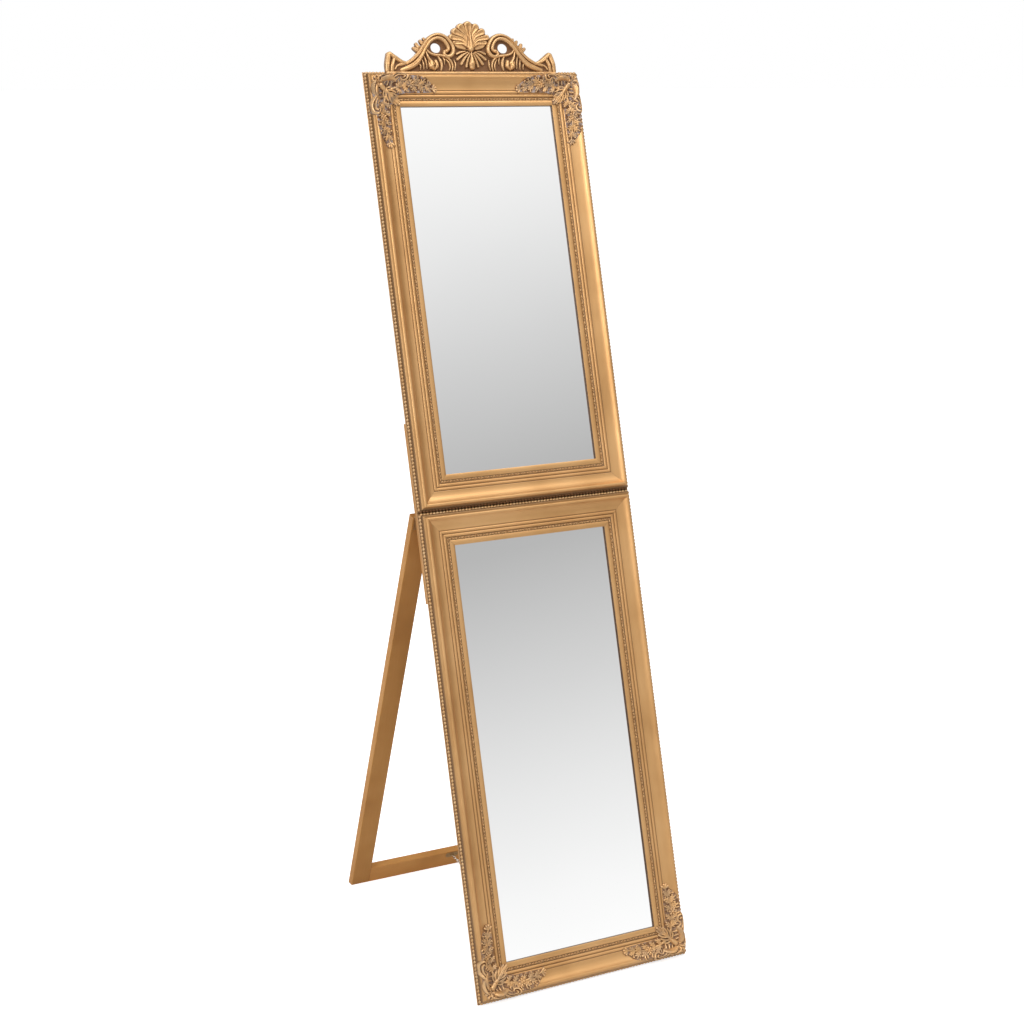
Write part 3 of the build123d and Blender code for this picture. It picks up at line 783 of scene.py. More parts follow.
def surface_net(field, corner, step):
    """Quads through the zero level of a sampled field, with one point to each crossed cell."""
    solid = field < 0
    offsets = np.array([[i, j, k] for i in (0, 1) for j in (0, 1) for k in (0, 1)])
    size = np.array(field.shape) - 1
    total = np.zeros(size, np.int8)
    for i, j, k in offsets:
        total += solid[i:size[0] + i, j:size[1] + j, k:size[2] + k]
    active = (total > 0) & (total < 8)
    cells = np.argwhere(active)
    number = np.full(size, -1, np.int64)
    number[active] = np.arange(len(cells))
    values = np.stack([field[tuple((cells + o).T)] for o in offsets], 1)
    points = np.zeros((len(cells), 3))
    count = np.zeros(len(cells))
    for a in range(8):
        for b in range(a + 1, 8):
            if np.abs(offsets[a] - offsets[b]).sum() != 1:
                continue
            va, vb = values[:, a], values[:, b]
            crossed = (va < 0) != (vb < 0)
            t = va[crossed] / (va[crossed] - vb[crossed])
            points[crossed] += offsets[a] + t[:, None] * (offsets[b] - offsets[a])
            count[crossed] += 1
    points = corner + (cells + points / count[:, None]) * step
    quads = []
    for axis in range(3):
        ahead = [slice(None)] * 3
        behind = [slice(None)] * 3
        ahead[axis], behind[axis] = slice(1, None), slice(None, -1)
        first, second = solid[tuple(behind)], solid[tuple(ahead)]
        for leaving in (True, False):
            edges = np.argwhere(first & ~second if leaving else ~first & second)
            p, q = [k for k in range(3) if k != axis]
            edges = edges[(edges[:, p] > 0) & (edges[:, q] > 0)]
            ring = []
            for dp, dq in ((0, 0), (1, 0), (1, 1), (0, 1)):
                cell = edges.copy()
                cell[:, p] -= dp
                cell[:, q] -= dq
                ring.append(number[tuple(cell.T)])
            ring = np.stack(ring, 1)
            if leaving == (axis == 1):
                ring = ring[:, ::-1]
            quads.append(ring)
    return points, np.vstack(quads)


def thinned(obj, share):
    """Fewer faces for the same shape; the wash, painted shade and highlight values stay on its points."""
    modifier = obj.modifiers.new("thin", "DECIMATE")
    modifier.ratio = share
    evaluated = obj.evaluated_get(bpy.context.evaluated_depsgraph_get())
    mesh = bpy.data.meshes.new_from_object(evaluated)
    mesh.name = obj.name
    old = obj.data
    obj.modifiers.clear()
    obj.data = mesh
    bpy.data.meshes.remove(old)


def carved_object(name, points, faces, hollow, ridge, material, share):
    obj = new_object(name, points, faces, material, "mirrors", angle=0)
    paint(obj, hollow=hollow, ridge=ridge)
    thinned(obj, share)
    return obj


# ---------------------------------------------------------------- crest
CREST_STEP = 0.5
CREST_SHARE = 0.3  # of the faces kept when the surface is thinned
PLATE = 3.2


def carve_crest():
    """The right half, in mm from the crest's foot and its middle, then mirrored."""
    c = Carving((-184, 184), (-7, 98), CREST_STEP)
    # The sunk ground behind the ornament.
    c.fill(
        [
            (-1, 0), (160, 0), (158, 9), (138, 10), (126, 18), (111, 30), (98, 45), (86, 58), (72, 65),
            (56, 64), (44, 60), (36, 64), (-1, 60),
        ],
        PLATE,
    )
    # The foot, which laps over the rim in place of the beads.
    c.ridge([(-2, -2.4), (60, -2.4), (120, -2.4), (176, -2.4)], 3.2, 8.4, 5.0)
    # Small leaves behind the scroll.
    for start, end, r in (
        ((102, 37), (116.5, 44.0), 4.2), ((102, 41), (110.5, 51.5), 4.3), ((92, 49), (101.5, 57.5), 3.9),
        ((87, 53), (94, 62), 3.1),
    ):
        middle = ((start[0] + end[0]) / 2 + 1.2, (start[1] + end[1]) / 2 - 0.6)
        c.ridge([start, middle, end], [r * 0.9, r, r * 0.75], [7.5, 8.4, 6.4], 5)
        c.groove([start, middle, end], [0.6, 0.7, 0.4], [0.8, 1.2, 0.4])
    # The leaf that ends each arm.
    c.fill(
        [
            (150, 0), (179, 0), (179, 10), (177, 22), (174.4, 30), (171, 34), (166, 36), (162, 33),
            (155, 27), (146, 20), (138, 17), (138, 4),
        ],
        5.5,
    )
    for path, r, rise in (
        (((175.6, 2), (174.4, 15), (169.8, 31.6)), (4.2, 4.8, 4.8), (8.4, 10.8, 10.2)),
        (((166.6, 2), (165.0, 12), (160.6, 23.0)), (4.2, 4.4, 3.6), (8.6, 10.8, 10.0)),
        (((167.5, 33), (156.5, 24.8), (145, 18.2), (134, 15.6)), (4.2, 4.6, 3.6, 2.6), (10.2, 11.0, 10.2, 9)),
    ):
        c.ridge(path, r, rise, 5, 0.4)
    c.groove([(171.2, 1), (169.8, 14), (165.4, 26)], [0.6, 0.8, 0.6], [1.6, 2.4, 0.8])
    c.groove([(162.6, 5), (161.0, 13), (157.6, 20)], [0.6, 0.9, 0.6], [0.8, 2.4, 0.8])
    c.groove([(177.0, 4), (174.8, 16), (170.6, 31)], [0.4, 0.7, 0.5], [0.4, 1.1, 0.6])
    c.groove([(164, 30.6), (155.4, 23.4), (145, 17.6)], [0.4, 0.7, 0.5], [0.4, 1.1, 0.5])
    # The eye under the arm's foot.
    c.ridge([(160.5, 4.5), (156.5, 10), (146, 14.4), (134, 15)], [2.0, 2.2, 2.4, 2.4], 8.6, 5)
    # The arm: a thin outer rib and a broad inner one that swells at its foot.
    outer = [
        (150, 12), (132, 17.5), (114, 29.5), (98, 48), (84, 62.5), (66.5, 69), (50.5, 64.5), (39.8, 52),
        (36.6, 40.5), (41.5, 31), (50, 28.4), (56.2, 32.2), (55.4, 37.6),
    ]
    c.ridge(
        outer, [2.2, 3.0, 3.2, 3.4, 3.4, 3.4, 3.4, 3.6, 3.7, 3.7, 3.4, 3.0, 2.5],
        [8, 10, 11, 12, 12.5, 12.6, 12.4, 12.2, 12, 11.6, 11, 10.6, 10.4], 6.5,
    )
    inner = [
        (147, 3), (133, 7.5), (117, 15.5), (104, 29.5), (92.5, 46), (80.5, 58.4), (66, 63.2), (54.6, 59),
        (48, 50), (46.4, 42.5), (50.2, 38.4),
    ]
    c.ridge(
        inner, [3.6, 5.0, 5.2, 4.2, 3.8, 3.5, 3.4, 3.5, 3.6, 3.4, 2.6],
        [8.4, 10, 10.8, 11.2, 11.4, 11.6, 11.6, 11.4, 11, 10.6, 10], 6.0,
    )
    c.groove(
        [
            (140, 12.6), (125, 21.4), (107, 36.6), (93, 53), (79, 63.5), (66, 66.2), (53, 62), (43.8, 51.5),
            (41, 41), (45.5, 34.4), (50, 33.4),
        ],
        [0.5, 0.7, 0.7], [1.0, 2.6, 1.6],
    )
    c.groove([(138, 7), (124, 12.6), (111, 22), (100, 36)], [0.5, 0.8, 0.4], [0.4, 1.3, 0.3])
    c.bead(51.2, 38.6, 3.6, 12.2, 6)
    # The leaf band under the hole, and the crescents beside the drop.
    c.ridge(
        [(92, 42), (86.5, 35.2), (76, 31.2), (64, 30.2), (53, 27.2), (45, 20.4), (41.6, 11), (43, 2.5)],
        [1.6, 2.4, 2.6, 2.7, 2.7, 2.5, 2.2, 1.8], [8, 9.6, 10, 10.2, 10, 9.6, 9, 7], 4,
    )
    c.ridge([(54, 23.4), (48.8, 16.6), (47, 9), (49, 2.6)], [1.4, 2.0, 1.9, 1.4], [7, 8.8, 8.4, 6.6], 3.2)
    c.ridge([(36.5, 22), (35.4, 13), (37.8, 3)], [1.2, 1.9, 1.4], [6.6, 8.6, 6.8], 3.2)
    c.ridge([(69.5, 28.5), (65.2, 20), (64, 11), (66, 3)], [2.0, 3.2, 3.0, 2.0], [8, 9.4, 8.8, 6.8], 3.2)
    c.groove([(68.4, 26), (64.8, 16), (65, 5)], [0.4, 0.7, 0.4], [0.5, 1.2, 0.5])
    c.ridge([(60.2, 27.5), (57.2, 21.5), (57.8, 14)], [1.2, 1.9, 1.1], [7, 8.4, 6.2], 3.2)
    # The bud, its stem, and the three small flames beside it.
    c.ridge([(93.5, 38), (91, 29), (86, 20.5), (80, 14.5)], [1.8, 2.4, 3.0, 3.6], [8.4, 9.4, 9.8, 10], 4)
    c.ridge([(84.6, 17), (85, 10.5), (80.4, 5.0)], [5.0, 6.6, 3.4], [10.6, 12.0, 9.2], 3.4)
    c.ridge([(75.6, 19.5), (74.6, 11), (79, 5.0)], [3.6, 5.0, 2.6], [10.2, 11.0, 8.4], 3.4)
    c.groove([(79.2, 21), (78.2, 12), (80.6, 3)], [0.5, 0.8, 0.6], [0.8, 2.2, 1.2])
    for start, middle, end, r in (
        ((98.5, 29), (95.6, 19), (94.6, 6), 1.9), (
            (103.5, 23), (101.6, 14), (101.4, 4.5), 1.8,
        ), ((110.5, 16.5), (108, 10), (108.6, 4), 1.6), ((90, 21), (90, 13), (88.6, 5), 1.6),
    ):
        c.ridge([start, middle, end], [r * 0.6, r, r * 0.7], [7.2, 8.6, 6.4], 3.2)
    # The lower fan and its drop.
    for angle, near, far, r in (
        (22, 8, 33.0, 2.5), (41, 8, 34.0, 3.0), (60, 9, 34.0, 3.0), (77, 12, 31, 2.2),
    ):
        s, k = math.sin(math.radians(angle)), math.cos(math.radians(angle))
        tip = (far * s, 40.5 - far * k)
        middle = (0.5 * (near + far) * s + 0.8, 40.5 - 0.5 * (near + far) * k + 0.8)
        c.ridge(
            [(near * s, 40.5 - near * k), middle, tip], [r * 0.6, r, r * 1.05], [11.0, 10.0, 8.2], 3.4, 0.35,
        )
        c.groove([(near * s, 40.5 - near * k), middle, tip], [0.3, 0.6, 0.7], [0.2, 0.8, 1.0])
    c.ridge([(0, 36), (0, 27), (0, 15.5), (0, 9)], [1.6, 3.4, 7.2, 6.0], [10.8, 10.6, 12.4, 10.2], 3.4)
    c.groove([(9.6, 21), (9.0, 12), (5.6, 4.6)], [0.5, 0.8, 0.6], [0.5, 1.2, 0.8])
    # The shell: spoon-shaped petals that spread from a narrow neck.
    c.fill(
        [
            (0, 93), (8, 91.5), (14, 89), (23, 84), (29, 79), (36, 71), (39.5, 64), (37, 57), (32.5, 50),
            (26, 45), (14, 42), (0, 40),
        ],
        7.4,
    )
    petals = ((0, 86.6, 8.6), (15.2, 82.8, 8.0), (27.6, 74.8, 7.5), (36.2, 64.2, 6.6), (31.6, 54.4, 4.4))
    lines = []
    for k, (x, y, r) in enumerate(petals):
        bend = 0.42 + 0.03 * k
        neck = (1.3 * k, 50.5 - 1.4 * k)
        waist = (neck[0] + (x - neck[0]) * bend * 0.72, neck[1] + (y - neck[1]) * (bend + 0.13 + 0.03 * k))
        lines.append((neck, waist, (x, y), r))
    for k, (neck, waist, tip, r) in reversed(list(enumerate(lines))):
        path = [(0.75 * k, 43.5 - 0.4 * k), neck, waist, tip]
        c.ridge(path, [1.5, 1.9, 0.60 * r, r], [11.4, 12.0, 12.2 - 0.2 * k, 14.2 - 0.7 * k], 5.0, 0.25, 0.38)
    for k, (neck, waist, tip, r) in enumerate(lines):
        short = (neck[0] + (tip[0] - neck[0]) * 0.97, neck[1] + (tip[1] - neck[1]) * 0.97)
        c.groove([neck, waist, short], [0.4, 0.36 * r, 0.62 * r], [0.6, 3.4 - 0.3 * k, 5.4 - 0.5 * k])
    for (_, waist_a, tip_a, ra), (_, waist_b, tip_b, rb) in zip(lines[:-1], lines[1:]):
        share = ra / (ra + rb)
        seam = [
            (p[0] + (q[0] - p[0]) * share, p[1] + (q[1] - p[1]) * share)
            for p, q in ((waist_a, waist_b), (tip_a, tip_b))
        ]
        beyond = (seam[1][0] * 1.3 - seam[0][0] * 0.3, seam[1][1] * 1.3 - seam[0][1] * 0.3)
        c.groove([*seam, beyond], [0.35, 0.7, 1.1], [0.4, 2.0, 3.0])
    c.ridge([(0, 74), (0, 62), (0, 50), (0, 42.5)], [1.3, 2.4, 4.4, 6.4], [12.4, 13.4, 14.2, 14.6], 6, 0.6)
    c.groove([(3.2, 70), (5.0, 58), (8.0, 47), (9.5, 41)], [0.5, 0.7, 0.8], [0.8, 1.4, 1.6])
    c.mirrored("left")
    # The holes inside the scrolls.
    for hand in (-1, 1):
        c.pierce(hand * 70.6, 45.2, 10.4, 9.2)
    return c


def make_crest():
    points, faces, hollow, ridge = carve_crest().solid(0.0)
    low = span("crest")[0]
    shown = place(points[:, 0], points[:, 1] + low[1], points[:, 2] + low[2])
    # Deep walls and grounds get the most dark wash and painted shade, but for the ground under the drop.
    depth = np.clip((7.8 - points[:, 2]) / 4.6, 0, 1)
    spared_under_drop = np.exp(-((points[:, 0] / 30) ** 2) - ((points[:, 1] - 6) / 14) ** 2)
    wash_and_shade = np.clip(1.15 * hollow + depth * (1 - 0.55 * spared_under_drop), 0, 1)
    obj = carved_object("crest_carving", shown, faces, wash_and_shade, ridge, gilt_cast, CREST_SHARE)
    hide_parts("crest")


make_crest()

# ---------------------------------------------------------------- corner ornaments
CORNER_STEP = 0.5
CORNER_SHARE = 0.4
MITRE_BLEND = 5.0  # how softly the ornament's bed turns at the corner
FACE_LOWEST, SIGHT_EDGE = 6.9, 65.1  # the part of the section that an ornament lies on
BED_REACH = 12  # samples on each side, for smoothing the bed
BED_DEPTH = 0.6  # how far the bed may sink below the face


def carve_corner():
    """The spray along one side, in mm from the frame's outer corner, then mirrored across the diagonal."""
    c = Carving((2, 146), (2, 146), CORNER_STEP)
    # A low ground ties the parts together.
    c.fill(
        [
            (12, 12), (30, 8), (56, 8), (82, 10), (102, 10), (118, 14), (130, 23), (138, 31), (137, 38),
            (124, 40.5), (100, 41), (78, 41), (62, 44), (58, 52), (60, 60), (12, 12),
        ],
        1.1,
    )
    # The spray: paired leaves on a bent stem.
    stem = [(48, 34), (62, 30), (80, 27), (100, 27), (120, 31), (139, 35.5)]
    c.ridge(stem, [2.8, 2.6, 2.2, 1.6], [4.8, 4.6, 3.8, 3.2], 0.8)
    for k, (x, y, length, turn) in enumerate((
        (60, 31.0, 16.5, 62), (74, 28.4, 17.5, 56), (90, 27.0, 17.0, 52), (
            105, 27.8, 14.5, 48,
        ), (118, 30.4, 11.5, 44),
    )):
        for hand in (-1, 1):
            out = math.radians(6 + hand * turn)
            reach = length if hand < 0 else min(length * 0.92, 12.5)
            elbow = (x + 0.5 * reach * math.cos(out), y + 0.5 * reach * math.sin(out))
            curl = out - hand * 0.60
            tip = (elbow[0] + 0.55 * reach * math.cos(curl), elbow[1] + 0.55 * reach * math.sin(curl))
            c.leaf([(x, y), elbow, tip], 0.36 * reach, 6.4 - 0.35 * k, 0.6, 3, 0.3)
    for k, (x, y, r, rise) in enumerate((
        (
            122.6, 20.6, 2.2, 5.0,
        ), (112.4, 14.6, 2.0, 5.0), (116.4, 17.4, 1.7, 4.4), (99.5, 12.4, 2.1, 4.8), (95.0, 13.6, 1.6, 4.2),
        (84.5, 13.4, 1.8, 4.6), (
            110.5, 38.6, 1.9, 4.2,
        ), (98.5, 38.8, 1.9, 4.6), (82.0, 38.6, 1.9, 4.8), (128.6, 25.8, 1.7, 4.2),
        (
            126.4, 38.2, 1.7, 3.8,
        ), (68.5, 39.8, 1.9, 4.8), (104.6, 33.6, 1.5, 4.0), (89.0, 34.4, 1.5, 4.2), (74.5, 34.8, 1.5, 4.2),
    )):
        c.bead(x, y, r, rise, 0.6)
    for angle in (-62, -24, 14, 54):
        a = math.radians(angle)
        c.ridge(
            [(132, 34.0), (132 + 8.0 * math.cos(a), 34.0 + 7.2 * math.sin(a))], [1.8, 2.5], [3.8, 4.4], 0.6,
            0.25,
        )
    # A rosette on the spray.
    for k in range(6):
        a = math.tau * (k + 0.3) / 6
        c.ridge(
            [
                (87 + 1.6 * math.cos(a), 26 + 1.6 * math.sin(a)),
                (87 + 5.0 * math.cos(a), 26 + 5.0 * math.sin(a)),
            ],
            [1.3, 2.3], [6.2, 6.9], 3.0, 0.25,
        )
    c.bead(87, 26, 1.9, 8.2, 3)
    # The ear: a long C-scroll with a doubled rim, lapping over the lip.
    c.fill([(50, 19), (53, 8), (62, 3.8), (76, 4.4), (81, 10), (78, 18), (66, 21)], 1.8)
    c.ridge(
        [
            (42, 17.5), (50, 11), (58, 5.8), (68, 4.2), (77, 6.2), (80.2, 12), (77, 17.6), (69.5, 18.6),
            (65.5, 15.4),
        ],
        [1.6, 2.2, 2.4, 2.4, 2.4, 2.4, 2.2, 2.0, 1.6], [4.4, 5.6, 6.2, 6.4, 6.4, 6.4, 6.2, 5.8, 5.2], 1.4,
    )
    c.ridge(
        [(48, 18.5), (56, 12), (63.5, 9.2), (71, 9.2), (74.4, 12.2), (71.6, 14.4)],
        [1.1, 1.5, 1.6, 1.6, 1.5, 1.4], [4, 5.2, 5.6, 5.8, 5.8, 5.6], 1.4,
    )
    c.ridge([(50, 23), (58, 17.5), (62.5, 14)], [1.2, 1.7, 1.2], [4.0, 5.0, 4.2], 1.2)
    # The scroll that runs from the ear to the corner.
    c.ridge(
        [(50, 14), (42, 9.6), (33, 8.8), (25, 11.2), (20.6, 16), (22.6, 20.4), (27, 20.2)],
        [1.6, 2.2, 2.5, 2.6, 2.5, 2.2, 1.8], [4.6, 5.6, 6.4, 6.8, 6.8, 6.4, 6.0], 1.2,
    )
    c.ridge(
        [(56, 19), (47, 15.5), (38, 14.8), (29.5, 17.6)], [3.0, 5.0, 5.6, 4.4], [5.4, 6.6, 7.4, 7.0], 1.2,
        0.5,
    )
    c.groove(
        [(52, 13), (44, 11), (35, 10.6), (27, 13.0), (23.4, 17)], [0.4, 0.6, 0.6, 0.5, 0.4],
        [0.6, 1.6, 1.8, 1.4, 0.6],
    )
    c.bead(26.4, 20.2, 2.6, 8.0, 2)
    for at, tip, r in (
        ((36, 21), (33, 26), 1.6), ((42.5, 20.6), (40.5, 27.5), 1.9), ((49, 21.4), (48.4, 29.4), 1.9),
    ):
        c.ridge([at, tip], [r, r * 0.8], [4.6, 3.6], 0.8)
    # The fan that fills the corner.
    for angle, far, r in ((0, 24.0, 2.3), (17, 23.0, 2.1), (34, 21.0, 1.9)):
        a = math.radians(225 + angle)
        near = (31 + 7 * math.cos(a), 31 + 7 * math.sin(a))
        tip = (31 + far * math.cos(a), 31 + far * math.sin(a))
        c.ridge([near, tip], [r * 0.55, r * 1.15], [6.0, 4.8], 0.8)
        c.groove([near, tip], [0.35, 0.7], [0.5, 1.5])
    # The bossed cartouche on the diagonal and its acanthus leaf, which reaches the sight edge.
    c.ridge([(27.5, 27.5), (38, 38)], [5.4, 4.6], [8.2, 7.6], 2.0, 0.8)
    c.groove([(25, 34), (31, 36.5), (36, 34.5), (36.6, 31)], [0.5, 0.7, 0.5], [0.6, 1.6, 0.6])
    c.ridge([(38, 38), (47, 47), (57, 57), (61, 61)], [3.2, 4.2, 3.4, 2.6], [6.8, 7.2, 6.2, 4.6], 0.8)
    for base, elbow, tip, r in (
        ((38, 36), (48, 36), (56, 40), 2.7), (
            (42, 41), (53, 43.5), (60, 48.5), 2.7,
        ), ((48, 47), (56, 50), (63, 56.5), 2.3), ((36, 33), (45, 30.5), (54, 33), 2.3),
    ):
        c.ridge([base, elbow, tip], [r * 0.7, r, r * 0.75], [6.4, 6.0, 4.0], 0.6, 0.3)
        c.groove([base, elbow, tip], [0.4, 0.7, 0.4], [0.5, 1.7, 0.4])
    c.groove([(40, 40), (50, 50), (60, 60)], [0.5, 0.8, 0.5], [0.6, 1.5, 0.7])
    c.bead(61.5, 61.5, 2.6, 5.6, 0.6)
    c.mirrored("diagonal")
    return c


def moulding_ground(inset):
    """The moulding's face as the ornament lies on it, with the grooves bridged."""
    face = [p for p in profile if p[1] > FACE_LOWEST and p[0] < SIGHT_EDGE]
    at = np.arange(0, 80, CORNER_STEP)
    level = np.interp(at, [p[0] for p in face], [p[1] for p in face])
    kernel = np.exp(-((np.arange(-BED_REACH, BED_REACH + 1) / 5.5) ** 2))
    smooth = np.convolve(np.pad(level, BED_REACH, "edge"), kernel / kernel.sum(), "valid")
    return np.interp(inset, at, np.maximum(smooth, level - BED_DEPTH))


def make_corners():
    points, faces, hollow, ridge = carve_corner().solid(-2.0)
    x, y, z = points.T
    share = np.clip(0.5 + 0.5 * (y - x) / MITRE_BLEND, 0, 1)
    inset = y + (x - y) * share - MITRE_BLEND * share * (1 - share)
    height = moulding_ground(inset) + z
    # Low ground and hollows are darkened: dark wash and painted shade.
    low = np.clip((3.0 - z) / 2.4, 0, 1)
    wash_and_shade = np.clip(hollow * 1.5 + 0.95 * low, 0, 1)
    for panel, end in (("lower", "low"), ("upper", "high")):
        for hand, word in ((-1, "left"), (1, "right")):
            u = hand * (HALF_WIDTH - x)
            v = PANELS[panel][0] + y if end == "low" else PANELS[panel][1] - y
            turned = faces if (hand == -1) == (end == "low") else faces[:, ::-1]
            name = f"{panel}_{word}_corner_carving"
            look = gilt_corners[panel]
            obj = carved_object(name, place(u, v, height), turned, wash_and_shade, ridge, look, CORNER_SHARE)
            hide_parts(f"{panel}_{word}_corner_ornament")


make_corners()

# ---------------------------------------------------------------- carved row beside the glass
ROW_PITCH = 12.6
ROW_INSET = 52.3
ROW_LEVEL = 8.4
LEAF_FOOT = -0.9  # the underside of each leaf, in the channel's floor


def row_motif():
    """One repeat of the running leaf and berries: along the row, across it, and proud of it."""
    points, faces = [], []

    def dome(x, y, rx, ry, rise, turn=0.0, rounds=8, levels=3):
        first = len(points)
        ct, st = math.cos(turn), math.sin(turn)
        for level in range(levels):
            steep = math.pi / 2 * level / levels
            for k in range(rounds):
                a = math.tau * k / rounds
                px = rx * math.cos(steep) * math.cos(a)
                py = ry * math.cos(steep) * math.sin(a)
                points.append((x + px * ct - py * st, y + px * st + py * ct, rise * math.sin(steep)))
        points.append((x, y, rise))
        top = len(points) - 1
        for level in range(levels - 1):
            for k in range(rounds):
                a, b = first + level * rounds + k, first + level * rounds + (k + 1) % rounds
                faces.append((a, b, b + rounds, a + rounds))
        base = first + (levels - 1) * rounds
        faces.extend((base + k, base + (k + 1) % rounds, top) for k in range(rounds))
        faces.append(tuple(first + k for k in reversed(range(rounds))))

    def leaf(x, y, length, width, rise, turn):
        """A pointed leaf with a sunk midrib and a wavy rim."""
        first = len(points)
        ct, st = math.cos(turn), math.sin(turn)
        shares = (0.0, 0.16, 0.34, 0.52, 0.70, 0.86, 1.0)
        across = (-1.0, -0.62, -0.25, 0.0, 0.25, 0.62, 1.0)
        for i, s in enumerate(shares):
            half = width / 2 * math.sin(math.pi * min(s * 0.92 + 0.06, 1)) ** 0.7
            half *= 1.0 if i % 2 else 0.82
            for w in across:
                px, py = length * (s - 0.5), half * w
                up = rise * (1 - w * w) * (0.55 + 0.45 * math.sin(math.pi * s))
                up -= 0.45 * rise if w == 0 else 0
                points.append((x + px * ct - py * st, y + px * st + py * ct, up))
        n, m = len(across), len(shares)
        for i in range(m - 1):
            for j in range(n - 1):
                a = first + i * n + j
                faces.append((a, a + n, a + n + 1, a + 1))
        rim = list(range(n)) + [i * n + n - 1 for i in range(1, m)]
        rim += [(m - 1) * n + j for j in range(n - 2, -1, -1)] + [i * n for i in range(m - 2, 0, -1)]
        under = len(points)
        for i in rim:
            x, y, _ = points[first + i]
            points.append((x, y, LEAF_FOOT))
        for k, i in enumerate(rim):
            ahead = (k + 1) % len(rim)
            faces.append((first + i, first + rim[ahead], under + ahead, under + k))
        faces.append(tuple(under + k for k in range(len(rim))))

    leaf(-2.6, 0.5, 6.8, 3.2, 2.3, 0.42)
    leaf(-0.6, -1.1, 5.6, 2.3, 1.9, -0.30)
    dome(2.7, 1.0, 1.25, 1.1, 2.1)
    dome(3.0, -1.1, 1.05, 1.05, 1.8)
    dome(5.0, 0.0, 1.25, 1.5, 2.4, 0.3)
    return np.array(points), faces


def carved_rows(panel):
    low, high = PANELS[panel]
    left, right = -HALF_WIDTH + ROW_INSET, HALF_WIDTH - ROW_INSET
    bottom, top = low + ROW_INSET, high - ROW_INSET
    motif, motif_faces = row_motif()
    points, faces = [], []
    runs = (
        ((left, bottom), (0, 1)), ((right, top), (0, -1)), ((left, top), (1, 0)), ((right, bottom), (-1, 0)),
    )
    for (u, v), (du, dv) in runs:
        length = (top - bottom) if dv else (right - left)
        count = round(length / ROW_PITCH)
        for k in range(count):
            at = (k + 0.5) * length / count
            inward = (dv, -du)
            cu = u + du * (at + motif[:, 0]) + inward[0] * motif[:, 1]
            cv = v + dv * (at + motif[:, 0]) + inward[1] * motif[:, 1]
            faces += [tuple(i + len(points) for i in face) for face in motif_faces]
            points += list(place(cu, cv, ROW_LEVEL + motif[:, 2]))
    name = f"{panel}_carved_rows"
    obj = new_object(name, points, faces, gilt_row, "mirrors", angle=0)
    rise = np.tile(motif[:, 2], len(points) // len(motif))
    # Low parts of each motif are darkened (dark wash and painted shade) and the tops lightened (painted
    # highlight).
    paint(obj, hollow=np.clip(1 - rise / 0.8, 0, 1), ridge=np.clip(rise - 1.0, 0, 1))
    face_outward(obj)


gilt_row = cast_gilt("gilt_row", 0.65, BROWN_WASH_AND_SHADE)
for panel in PANELS:
    carved_rows(panel)

# ---------------------------------------------------------------- stay chain
LINK_COUNT = 83
LINK_BEND = 1.75  # mm, the radius of a link's two ends
WIRE = 0.68  # mm, the wire's radius
WIRE_SIDES = 8
BEND_POINTS = 8


def make_chain():
    """Interlinked wire links, laid along the line of the CAD chain."""
    cloud = node_points("stay_chain") / MM
    sag = np.polyfit(cloud[:, 1], cloud[:, 2], 2)
    y = np.linspace(cloud[:, 1].min() + 0.6, cloud[:, 1].max() - 0.6, 400)
    line = np.stack([np.zeros_like(y), y, np.polyval(sag, y)], 1)
    reach = np.concatenate([[0], np.cumsum(np.linalg.norm(np.diff(line, axis=0), axis=1))])
    pitch = reach[-1] / LINK_COUNT
    straight = (pitch + WIRE * 2) / 2 - LINK_BEND
    loop = []
    for end in (1, -1):
        for k in range(BEND_POINTS):
            a = math.pi * (k / (BEND_POINTS - 1) - 0.5 * end)
            loop.append(
                (
                    end * straight + LINK_BEND * math.cos(a), LINK_BEND * math.sin(a), math.cos(a),
                    math.sin(a),
                )
            )
    points, faces = [], []
    for link in range(LINK_COUNT):
        s = (link + 0.5) * pitch
        centre = np.array([np.interp(s, reach, line[:, i]) for i in range(3)])
        ahead = np.array([np.interp(s + 1, reach, line[:, i]) for i in range(3)]) - centre
        ahead /= np.linalg.norm(ahead)
        roll = math.radians(45 + 90 * (link % 2) + 7 * math.sin(1.7 * link))
        level = np.array([1.0, 0, 0])
        upright = np.cross(ahead, level)
        across = level * math.cos(roll) + upright * math.sin(roll)
        normal = np.cross(ahead, across)
        first = len(points)
        for x, w, nx, nw in loop:
            outward = ahead * nx + across * nw
            for k in range(WIRE_SIDES):
                a = math.tau * k / WIRE_SIDES
                turned = outward * math.cos(a) + normal * math.sin(a)
                points.append((centre + ahead * x + across * w + WIRE * turned) * MM)
        rings = len(loop)
        for i in range(rings):
            here, there = first + i * WIRE_SIDES, first + (i + 1) % rings * WIRE_SIDES
            for k in range(WIRE_SIDES):
                after = (k + 1) % WIRE_SIDES
                faces.append((here + k, here + after, there + after, there + k))
    obj = new_object("stay_chain_links", points, faces, nickel, "mirrors", angle=0)
    face_outward(obj)
    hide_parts("stay_chain")
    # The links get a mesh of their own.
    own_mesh(obj)


make_chain()

